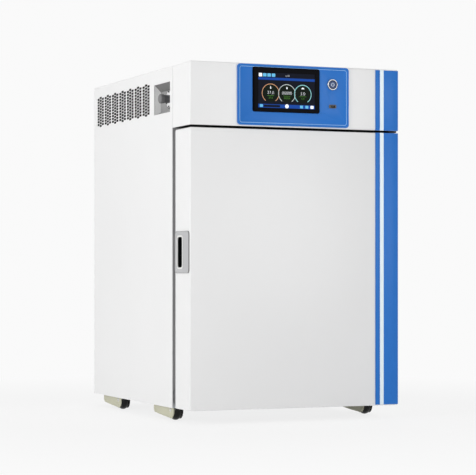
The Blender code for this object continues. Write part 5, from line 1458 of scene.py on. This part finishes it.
        if number == 0:
            stem = self.drawn(rounded(u - 0.0007, v - 0.001, u + 0.0007, v + 0.0032, 0.0006, 3), start)
            return joined(stem, disc(0, -0.0019, 0.0016))
        if number == 1:
            return self.drawn([(u, v + 0.003), *arc_points((u, v - 0.001), 0.0019, 150, 390, 12)], start)
        return joined(disc(-0.0021, -0.0005, 0.0014), disc(0.0002, 0.0005, 0.0019), disc(0.0024, -0.0006, 0.0013))


@dataclass
class OuterDoor:
    """Outer door: steel pan, back pan, handle and hinges.

    Attributes:
        well_wall: Wall of the black lining in the finger slot, which paints the deep shade inside the slot.
        slot_width: Width of the finger slot.
        slot_height: Height of the finger slot.
        slot_radius: Corner radius of the finger slot.
        slot_from_front: Distance of the slot's middle from the door's front.
        handle_edge: Thickness of the dark edge round the handle's plate, which paints the shade on the plate's front
            wall.
        handle_corner: Corner radius of that plate.
        lip: Width of the pale lip round the slot, which paints the highlight on the slot's edge.
        well_gap: Gap between the slot's wall and its lining.
    """

    well_wall: float = 0.0003
    slot_width: float = 0.031
    slot_height: float = 0.0745
    slot_radius: float = 0.007
    slot_from_front: float = 0.064
    handle_edge: float = 0.0008
    handle_corner: float = 0.008
    lip: float = 0.005
    well_gap: float = 0.00015

    def build(self, fitter: Fitter) -> None:
        """Finish the door's nodes and line its handle."""
        fitter.refine(WHITE_STEEL, "door_shell", "door_liner_pan")
        fitter.refine(HANDLE_GREY, "handle_pocket", edge=0.0003)
        fitter.refine(WHITE_NYLON, "hinge_bush_upper", "hinge_bush_lower")
        # The upper hinge is darkened to near black, as painted shade for the gap above the door; the lower hinge
        # keeps the plain zinc
        fitter.refine(DARK_ZINC_AND_SHADE, "upper_hinge", edge=0.0004)
        fitter.refine(ZINC, "lower_hinge", edge=0.0004)
        fitter.refine(GASKET, "door_gasket")
        self.finger_well(fitter)
        self.handle_trim(fitter)
        self.hinge_screws(fitter)

    def slot_outline(self, grow: float) -> Outline:
        """Return the finger slot's outline, grown by a width."""
        low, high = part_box("handle_pocket")
        centre = (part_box("door_shell")[0].y + self.slot_from_front, (low.z + high.z) / 2)
        return centred(centre, self.slot_width / 2 + grow, self.slot_height / 2 + grow, self.slot_radius + grow)

    def handle_trim(self, fitter: Fitter) -> None:
        """Put a dark edge round the handle's plate and a pale lip round its slot: painted shade on the plate's front
        wall, and a painted highlight on the slot's edge.
        """
        low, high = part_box("handle_pocket")
        start, end = low.x + 0.0004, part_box("door_shell")[0].x - 0.0001
        edge, play, corner = self.handle_edge, 0.0001, self.handle_corner
        outer = rounded(low.y - edge, low.z - edge, high.y + edge, high.z + edge, corner + edge)
        inner = rounded(low.y + play, low.z + play, high.y - play, high.z - play, corner)
        shade_ring = plate(outer, Plane.YZ, start, end - start, (inner,))
        fitter.place("handle_edge", shade_ring, Body.OUTER_DOOR, HANDLE_SHADE_GREY)
        # The pale lip paints the highlight on the slot's edge
        lip = plate(self.slot_outline(self.lip), Plane.YZ, low.x + 0.0002, 0.0014, (self.slot_outline(0.0003),))
        fitter.place("slot_lip", lip, Body.OUTER_DOOR, WHITE_NYLON)

    def finger_well(self, fitter: Fitter) -> None:
        """Line the finger slot with a black well: painted shade for the deep dark inside the slot."""
        low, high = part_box("handle_pocket")
        mouth, floor = low.x + 0.0018, high.x - 0.0022
        outer, inner = self.slot_outline(-self.well_gap), self.slot_outline(-self.well_gap - self.well_wall)
        path = ((outer, floor), (outer, mouth), (inner, mouth), (inner, floor - self.well_wall))
        well = skin([lifted(outline, Plane.YZ, depth) for outline, depth in path])
        fitter.place("finger_well", well, Body.OUTER_DOOR, BLACK_AND_WELL_SHADE)

    def hinge_screws(self, fitter: Fitter) -> None:
        """Screw the upper hinge plate to the head from below, behind the door's hinge edge."""
        low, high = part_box("upper_hinge")
        x, under = (low.x + high.x) / 2, high.z - 0.004
        spots = [Vector((x, high.y - gap, under)) for gap in (0.010, 0.026)]
        fitter.fasten("upper_hinge_screws", spots, DOWNWARD, 0.003, Body.CABINET, DARK_ZINC_AND_SHADE)


@dataclass
class Chamber:
    """Stainless chamber with its racks, shelves, tray, duct, filter and fan.

    Attributes:
        shelf_thickness: Thickness of a shelf's sheet.
        shelf_margin: Plain border round a shelf's slots.
        shelf_corner: Corner radius of a shelf.
        slot_columns: Slots across a shelf.
        slot_rows: Slots from a shelf's front to its back.
        slot_width: Width of a slot, as a share of its pitch.
        slot_depth: Depth of a slot from front to back, as a share of its pitch.
        lip_inset: Distance of a lip's ends from the shelf's sides.
        filter_pleats: Pleats of the filter.
        pleat_depth: Depth of a pleat.
        rim: Width of the filter's rim.
        guard_wire: Thickness of the filter guard's bars.
    """

    shelf_thickness: float = 0.0012
    shelf_margin: float = 0.030
    shelf_corner: float = 0.006
    slot_columns: int = 11
    slot_rows: int = 14
    slot_width: float = 0.78
    slot_depth: float = 0.45
    lip_inset: float = 0.020
    filter_pleats: int = 26
    pleat_depth: float = 0.010
    rim: float = 0.005
    guard_wire: float = 0.0016

    def build(self, fitter: Fitter) -> None:
        """Finish the chamber's nodes and add its fine pieces."""
        fitter.refine(STAINLESS, "chamber_liner")
        fitter.refine(STAINLESS_DEEP, "shelf_rack_left", "shelf_rack_right", edge=0.0002)
        fitter.refine(STAINLESS_UPRIGHT, "air_duct_panel")
        fitter.refine(STAINLESS, "water_tray")
        fitter.refine(FRAME_GREY, "front_frame")
        fitter.refine(SEAL, "glass_door_seal")
        fitter.refine(ALUMINIUM, "fan_impeller")
        fitter.refine(ZINC, "fan_motor")
        for number in (1, 2, 3):
            self.shelf(fitter, number)
        self.filter(fitter)
        self.duct_screws(fitter)

    def shelf(self, fitter: Fitter, number: int) -> None:
        """Replace one shelf by a finely punched sheet with turned-down lips.

        Args:
            fitter: Places the shelf.
            number: Number of the shelf from below.
        """
        node = f"shelf_{number}"
        low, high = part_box(node)
        sheet = self.shelf_thickness
        top = high.z - sheet
        across = (high.x - low.x - 2 * self.shelf_margin) / self.slot_columns
        deep = (high.y - low.y - 2 * self.shelf_margin) / self.slot_rows
        plain = fitter.punch(
            rounded(low.x, low.y, high.x, high.y, self.shelf_corner, 5), (), Plane.XY, top,
            Columns=self.slot_columns, Rows=self.slot_rows, Groups=1, Column_Pitch=across, Row_Pitch=deep,
            Group_Pitch=0.0, Slot_Width=across * self.slot_width, Slot_Height=deep * self.slot_depth,
            Slot_Radius=0.004, Stagger=0.0, Centre=((low.x + high.x) / 2, (low.y + high.y) / 2, 0.0), Thickness=sheet,
        )
        end = high.x - self.lip_inset
        lips = [block((-end, y, low.z), (end, y + sheet, top), 0.0003, 1) for y in (low.y, high.y - sheet)]
        fitter.place(f"{node}_sheet", joined(plain, *lips), node, STAINLESS, node)

    def filter(self, fitter: Fitter) -> None:
        """Replace the filter by a rim with pleated paper and a crossed guard in it."""
        low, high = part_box("hepa_filter")
        centre = Vector(((low.x + high.x) / 2, low.y, (low.z + high.z) / 2))
        radius, deep, rim = (high.x - low.x) / 2, high.y - low.y, self.rim
        ring = [(radius, 0.001), (radius - 0.001, 0), (radius - rim, 0), (radius - rim, deep), (radius, deep)]
        fitter.place("filter_rim", lathe(ring, Axis.Y, centre, closed=True), Body.CABINET, LIGHT_GREY, "hepa_filter")
        paper = fitter.pleating.run(
            bpy.data.meshes.new("empty"), Pleats=self.filter_pleats, Radius=radius - rim + 0.0004,
            Depth=self.pleat_depth, Finish=PAPER.material(),
        )
        upright = Matrix.Rotation(math.radians(90), 4, "X")
        paper.transform(Matrix.Translation((centre.x, low.y + 0.014, centre.z)) @ upright)
        fitter.place("filter_paper", paper, Body.CABINET, PAPER)
        self.guard(fitter, centre, radius)

    def guard(self, fitter: Fitter, centre: Vector, radius: float) -> None:
        """Cross thin bars in front of the filter.

        Args:
            fitter: Places the guard.
            centre: Centre of the filter's front.
            radius: Radius of the filter.
        """
        half = self.guard_wire / 2
        level, upright = centre + Vector((0, 0.0023, 0)), centre + Vector((0, 0.0021, 0))
        bars = []
        for i in range(-2, 3):
            offset = i * radius * 0.3
            reach = math.sqrt((radius - self.rim) ** 2 - offset**2) + 0.001
            for middle, half_size in (
                (level + Vector((0, 0, offset)), Vector((reach, half, half))),
                (upright + Vector((offset, 0, 0)), Vector((half, half, reach))),
            ):
                bars.append(block(middle - half_size, middle + half_size, 0.0005))
        fitter.place("filter_guard", joined(*bars), Body.CABINET, STAINLESS)

    def duct_screws(self, fitter: Fitter) -> None:
        """Screw the duct panel at its corners."""
        low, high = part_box("air_duct_panel")
        inset = 0.012
        spots = [
            Vector((x, low.y, z)) for x in (low.x + inset, high.x - inset) for z in (low.z + inset, high.z - inset)
        ]
        fitter.fasten("duct_panel_screws", spots, FORWARD, 0.0035, Body.CABINET, TURNED_STEEL)


@dataclass
class GlassDoor:
    """Glass inner door with its clips, rod and knob."""

    def build(self, fitter: Fitter) -> None:
        """Finish the glass door."""
        fitter.refine(GLASS, "glass_door_pane")
        fitter.refine(STAINLESS_UPRIGHT, "glass_clip_upper", "glass_clip_lower", edge=0.0002)
        fitter.refine(TURNED_STEEL, "glass_hinge_rod")
        fitter.refine(DARK_GREY, "glass_door_knob", edge=0.0003)
        spots = []
        for node in ("glass_clip_upper", "glass_clip_lower"):
            low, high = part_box(node)
            x, y = low.x + 0.008, low.y + 0.0026
            spots += [Vector((x, y, z)) for z in (low.z + 0.010, high.z - 0.010)]
        fitter.fasten("glass_clip_screws", spots, FORWARD, 0.0026, Body.GLASS_DOOR, TURNED_STEEL)


@dataclass
class SidePort:
    """Port in the recess of the left side, with its pull-off cap.

    Attributes:
        screws: Small screws round the flange.
        screw_circle: Radius of their circle, as a share of the flange's.
        ribs: Grip ribs round the cap.
        neck: Length of the neck in front of the flange's face.
        neck_radius: Outer radius of the neck.
        flange_width: Width of the recess's flange behind the casing.
        recess_wall: Thickness of the recess's sheet.
        side_taper: How far a side wall of the recess slopes in.
        roof_taper: How far its roof slopes down.
        floor_taper: How far its floor slopes up.
    """

    screws: int = 6
    screw_circle: float = 0.84
    ribs: int = 26
    neck: float = 0.020
    neck_radius: float = 0.0090
    flange_width: float = 0.006
    recess_wall: float = 0.0012
    side_taper: float = 0.004
    roof_taper: float = 0.017
    floor_taper: float = 0.008

    def build(self, fitter: Fitter) -> None:
        """Finish the port, screw its flange and rib its cap."""
        fitter.refine(RECESS_GREY, "side_port_recess")
        fitter.refine(BRIGHT_STEEL, "side_port_flange", edge=0.0002)
        fitter.refine(CAP_GREY, "side_port_cap", edge=0.0003)
        low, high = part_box("side_port_cap")
        y, z = (low.y + high.y) / 2, (low.z + high.z) / 2
        flange_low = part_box("side_port_flange")[0]
        flange_radius = y - flange_low.y
        face = flange_low.x + self.neck
        half_step = 180 / self.screws
        ring = arc_points((y, z), flange_radius * self.screw_circle, half_step, 360 - half_step, self.screws - 1)
        spots = [Vector((face, u, v)) for u, v in ring]
        fitter.fasten("port_flange_screws", spots, LEFTWARD, 0.0021, Body.CABINET, BLACK_AND_WELL_SHADE)
        self.rubbers(fitter, Vector((face, y, z)), flange_radius)
        # Painted shade on the recess's roof and painted light on its rear wall
        self.lining(fitter)
        grip = fitter.ribbing.run(
            bpy.data.meshes.new("empty"), Ribs=self.ribs, Radius=(high.y - low.y) / 2 - 0.0004,
            Length=(high.x - low.x) * 0.7, Width=0.0010, Finish=CAP_GREY.material(),
        )
        grip.transform(Axis.X.matrix(Vector(((low.x + high.x) / 2, y, z))))
        fitter.place("cap_grip_ribs", grip, Body.CAP, CAP_GREY)

    def rubbers(self, fitter: Fitter, centre: Vector, radius: float) -> None:
        """Put a seal under the flange and a boot round its neck.

        Args:
            fitter: Places the pieces.
            centre: Centre of the flange's face.
            radius: Radius of the flange.
        """
        inner, outer, under = radius + 0.0001, radius + 0.0016, 0.0030
        seal = [(inner, under), (inner, 0.0004), (outer - 0.0005, 0.0004), (outer, 0.0009), (outer, under)]
        fitter.place("port_flange_seal", lathe(seal, Axis.X, centre, closed=True), Body.CABINET, BLACK_AND_WELL_SHADE)
        neck = self.neck_radius + 0.0001
        boot = [(neck, -0.0002), (neck, -0.0140), (neck + 0.0006, -0.0140), (neck + 0.0010, -0.0002)]
        fitter.place("port_neck_boot", lathe(boot, Axis.X, centre, closed=True), Body.CABINET, DARK_GREY)

    def lining(self, fitter: Fitter) -> None:
        """Lay a dark sheet on the recess's sloping roof and a pale one on its rear wall: painted shade on the roof,
        which faces down, and painted light on the wall, which faces the front.
        """
        low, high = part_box("side_port_recess")
        near, far = low.x, high.x - self.recess_wall
        y0, y1 = low.y + self.flange_width, high.y - self.flange_width
        z0, z1 = low.z + self.flange_width, high.z - self.flange_width
        deep_y0, deep_y1 = y0 + self.side_taper, y1 - self.side_taper
        deep_z0, deep_z1 = z0 + self.floor_taper, z1 - self.roof_taper
        roof = ((near, y0, z1), (near, y1, z1), (far, deep_y1, deep_z1), (far, deep_y0, deep_z1))
        wall = ((near, y1, z0), (near, y1, z1), (far, deep_y1, deep_z1), (far, deep_y1, deep_z0))
        for name, corners, inward, finish in (
            ("recess_roof_lining", roof, Vector((-1, 0, -1)), RECESS_PAINTED_SHADE),
            ("recess_rear_lining", wall, Vector((-1, -1, 0)), RECESS_PAINTED_LIGHT),
        ):
            loops = [[Vector(corner) + inward * gap for corner in corners] for gap in (0.0001, 0.0004)]
            fitter.place(name, skin(loops), Body.CABINET, finish)


@dataclass
class Services:
    """Gas and mains inlets, valve, sensors and power supply."""

    def build(self, fitter: Fitter) -> None:
        """Finish the services."""
        fitter.refine(BRASS, "co2_inlet", edge=0.0001)
        fitter.refine(HOSE, "co2_line")
        fitter.refine(ZINC, "co2_valve", edge=0.0003)
        fitter.refine(LIGHT_GREY, "co2_sensor", edge=0.0003)
        fitter.refine(TURNED_STEEL, "temperature_probe", edge=0.0002)
        fitter.refine(BLACK_GLOSS, "mains_inlet", edge=0.0002)
        fitter.refine(ALUMINIUM, "power_supply", edge=0.0003)
        low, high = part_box("mains_inlet")
        z = (low.z + high.z) / 2
        spots = [Vector((x, high.y, z)) for x in (low.x + 0.0032, high.x - 0.0032)]
        fitter.fasten("mains_inlet_screws", spots, BACKWARD, 0.0022, Body.CABINET, ZINC)


@dataclass
class Casters:
    """Rollers under the base: brackets, wheels, axle ends and fixing screws.

    Attributes:
        hub: Radius of the raised ring on a wheel's face.
        bore: Radius of a wheel's bore.
        tread: Half of the flat middle of the tread.
    """

    hub: float = 0.0095
    bore: float = 0.0045
    tread: float = 0.0024

    def build(self, fitter: Fitter) -> None:
        """Finish all four rollers."""
        for end in ("front", "rear"):
            for side in ("left", "right"):
                self.roller(fitter, f"{end}_{side}")

    def roller(self, fitter: Fitter, place: str) -> None:
        """Finish one roller.

        Args:
            fitter: Places its pieces.
            place: Which corner it is at.
        """
        node = f"caster_wheel_{place}"
        fitter.refine(IVORY, f"caster_bracket_{place}", edge=0.0006)
        low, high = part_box(node)
        centre, half, radius = (low + high) / 2, (high.x - low.x) / 2, (high.z - low.z) / 2
        edge, hub = radius - 0.0028, self.hub
        half_profile = [
            (self.bore, half - 0.0008), (hub - 0.001, half - 0.0008), (hub, half), (hub + 0.0015, half),
            (hub + 0.0025, half - 0.001), (edge - 0.004, half - 0.001), (edge - 0.002, half), (edge, half - 0.0015),
            (edge + 0.0014, half * 0.66), (radius - 0.0004, self.tread * 1.5), (radius, self.tread * 0.5),
        ]
        profile = half_profile + [(r, -a) for r, a in half_profile[::-1]]
        wheel = lathe(profile, Axis.X, centre, closed=True)
        fitter.place(f"{node}_turned", wheel, f"wheel_{place}", BLACK_NYLON, node)
        self.bracket_trim(fitter, place, centre, high.x)

    @staticmethod
    def bracket_trim(fitter: Fitter, place: str, centre: Vector, inside: float) -> None:
        """Put the axle's ends, the nosing and the fixing screws on one bracket.

        Args:
            fitter: Places the pieces.
            place: Which corner it is at.
            centre: Centre of the wheel.
            inside: X of the wheel's face on the right.
        """
        bracket_low, bracket_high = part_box(f"caster_bracket_{place}")
        head = [(0, 0.0010), (0.0035, 0.0010), (0.0048, 0.0004), (0.0048, -0.0004), (0, -0.0004)]
        ends = []
        for x, turn in ((bracket_high.x, 1), (bracket_low.x, -1)):
            ends.append(lathe([(r, a * turn) for r, a in head], Axis.X, Vector((x, centre.y, centre.z)), 24))
        fitter.place(f"axle_ends_{place}", joined(*ends), Body.CABINET, TURNED_STEEL)
        nose = centre.y - bracket_low.y
        rim = ring_arc((centre.y, centre.z), nose + 0.0002, nose + 0.0009, 95, 265, 28)
        start = inside + 0.0003
        edging = plate(rim, Plane.YZ, start, bracket_high.x - start)
        fitter.place(f"nose_edging_{place}", edging, Body.CABINET, BLACK_NYLON)
        under = bracket_high.z - 0.003
        middle = (bracket_low.x + bracket_high.x) / 2
        spots = [Vector((middle, bracket_high.y - gap, under)) for gap in (0.020, 0.060)]
        fitter.fasten(f"caster_bolts_{place}", spots, DOWNWARD, 0.005, Body.CABINET, ZINC)


@dataclass
class Studio:
    """Pale floor, soft light and the photograph's camera.

    Attributes:
        camera_at: Place of the camera.
        camera_turn: Degrees that it is turned to the right.
        lens: Focal length in millimetres on a 36 mm sensor.
        shift: Vertical shift of the frame.
        ground: Brightness of the floor and the backdrop as the camera sees them.
        ambient: Strength of the even light from all sides.
        aim: Point that the lights face.
        lights: Name, place, side and power in watts of each soft light.
        fade_start: Distance from the object where the floor begins to fade.
        fade_end: Distance where it has become the backdrop.
        fade_share: Share of the backdrop's brightness in the floor near the object.
    """

    camera_at: tuple[float, float, float] = (-1.906, -4.568, 0.370)
    camera_turn: float = 22.62
    lens: float = 140.67
    shift: float = 0.0721
    ground: float = 0.955
    ambient: float = 0.42
    aim: tuple[float, float, float] = (0.0, 0.0, 0.45)
    lights: tuple[tuple[str, tuple[float, float, float], float, float], ...] = (
        ("left_light", (-3.9, -1.0, 1.3), 2.6, 78.0),
        ("front_light", (1.7, -4.4, 1.2), 2.4, 54.0),
        ("top_light", (0.0, 0.6, 3.4), 2.4, 4.0),
        ("back_light", (2.0, 3.2, 1.8), 2.4, 24.0),
    )
    fade_start: float = 0.7
    fade_end: float = 1.7
    fade_share: float = 0.84

    def build(self) -> None:
        """Make the camera, the lights, the world and the floor."""
        scene = bpy.context.scene
        scene.view_settings.view_transform = "Standard"
        data = bpy.data.cameras.new("camera")
        data.lens = self.lens
        data.sensor_width = 36.0
        data.shift_y = self.shift
        camera = bpy.data.objects.new("camera", data)
        camera.location = self.camera_at
        camera.rotation_euler = (math.radians(90), 0, math.radians(-self.camera_turn))
        scene.collection.objects.link(camera)
        scene.camera = camera
        for light in self.lights:
            self.softbox(*light)
        self.world()
        self.floor()

    def softbox(self, name: str, place: tuple[float, float, float], size: float, power: float) -> None:
        """Hang a square soft light that faces the cabinet.

        Args:
            name: Name of the light.
            place: Where it hangs.
            size: Its side.
            power: Its power in watts.
        """
        data = bpy.data.lights.new(name, "AREA")
        data.shape = "SQUARE"
        data.size = size
        data.energy = power
        light = bpy.data.objects.new(name, data)
        light.location = place
        light.rotation_euler = (Vector(self.aim) - Vector(place)).to_track_quat("-Z", "Y").to_euler()
        bpy.context.scene.collection.objects.link(light)

    @staticmethod
    def seen_rays(tree: bpy.types.NodeTree) -> bpy.types.NodeSocket:
        """Return 1 for rays that show the background: from the camera, or through or off a glossy piece."""
        path = tree.nodes.new("ShaderNodeLightPath")
        total = path.outputs["Is Camera Ray"]
        for name in ("Is Glossy Ray", "Is Transmission Ray"):
            add = tree.nodes.new("ShaderNodeMath")
            add.operation = "MAXIMUM"
            tree.links.new(total, add.inputs[0])
            tree.links.new(path.outputs[name], add.inputs[1])
            total = add.outputs[0]
        return total

    def world(self) -> None:
        """Light the scene evenly, and show a white background."""
        world = bpy.data.worlds.new("studio")
        bpy.context.scene.world = world
        world.use_nodes = True
        tree = world.node_tree
        lit = tree.nodes["Background"]
        lit.inputs["Color"].default_value = (1, 1, 1, 1)
        lit.inputs["Strength"].default_value = self.ambient
        seen = tree.nodes.new("ShaderNodeBackground")
        seen.inputs["Color"].default_value = (self.ground, self.ground, self.ground, 1)
        seen.inputs["Strength"].default_value = 1.0
        mix = tree.nodes.new("ShaderNodeMixShader")
        tree.links.new(self.seen_rays(tree), mix.inputs[0])
        tree.links.new(lit.outputs[0], mix.inputs[1])
        tree.links.new(seen.outputs[0], mix.inputs[2])
        tree.links.new(mix.outputs[0], tree.nodes["World Output"].inputs["Surface"])

    def floor(self) -> None:
        """Lay a pale floor that keeps the object's shadow."""
        bm = bmesh.new()
        bmesh.ops.create_grid(bm, x_segments=4, y_segments=4, size=30.0)
        mesh = mesh_of(bm, "floor")
        material = bpy.data.materials.new("pale_floor")
        material.use_nodes = True
        tree = material.node_tree
        shader = tree.nodes["Principled BSDF"]
        shader.inputs["Base Color"].default_value = (0.93, 0.93, 0.93, 1)
        shader.inputs["Roughness"].default_value = 0.8
        glow = tree.nodes.new("ShaderNodeEmission")
        glow.inputs["Color"].default_value = (self.ground, self.ground, self.ground, 1)
        place = tree.nodes.new("ShaderNodeTexCoord").outputs["Object"]
        away = tree.nodes.new("ShaderNodeVectorMath")
        away.operation = "LENGTH"
        tree.links.new(place, away.inputs[0])
        fade = tree.nodes.new("ShaderNodeMapRange")
        spread = {"From Min": self.fade_start, "From Max": self.fade_end, "To Min": self.fade_share, "To Max": 1.0}
        for name, value in spread.items():
            fade.inputs[name].default_value = value
        tree.links.new(away.outputs["Value"], fade.inputs["Value"])
        share = tree.nodes.new("ShaderNodeMath")
        share.operation = "MULTIPLY"
        tree.links.new(fade.outputs["Result"], share.inputs[1])
        tree.links.new(self.seen_rays(tree), share.inputs[0])
        mix = tree.nodes.new("ShaderNodeMixShader")
        tree.links.new(share.outputs[0], mix.inputs[0])
        tree.links.new(shader.outputs[0], mix.inputs[1])
        tree.links.new(glow.outputs[0], mix.inputs[2])
        tree.links.new(mix.outputs[0], tree.nodes["Material Output"].inputs["Surface"])
        mesh.materials.append(material)
        plane = bpy.data.objects.new("floor", mesh)
        bpy.context.scene.collection.objects.link(plane)


def main() -> None:
    """Build every sub-assembly in order."""
    logging.basicConfig(level=logging.INFO, format="%(name)s: %(message)s")
    fitter = Fitter()
    assemblies = (
        Casing(), FrontBands(), ControlHead(), Display(), OuterDoor(), Chamber(), GlassDoor(), SidePort(), Services(),
        Casters(),
    )
    for assembly in assemblies:
        assembly.build(fitter)
        log.info("%s done", type(assembly).__name__)
    Studio().build()
    bpy.context.view_layer.update()
    log.info("%d pieces placed", fitter.count)


if __name__ == "__main__":
    main()
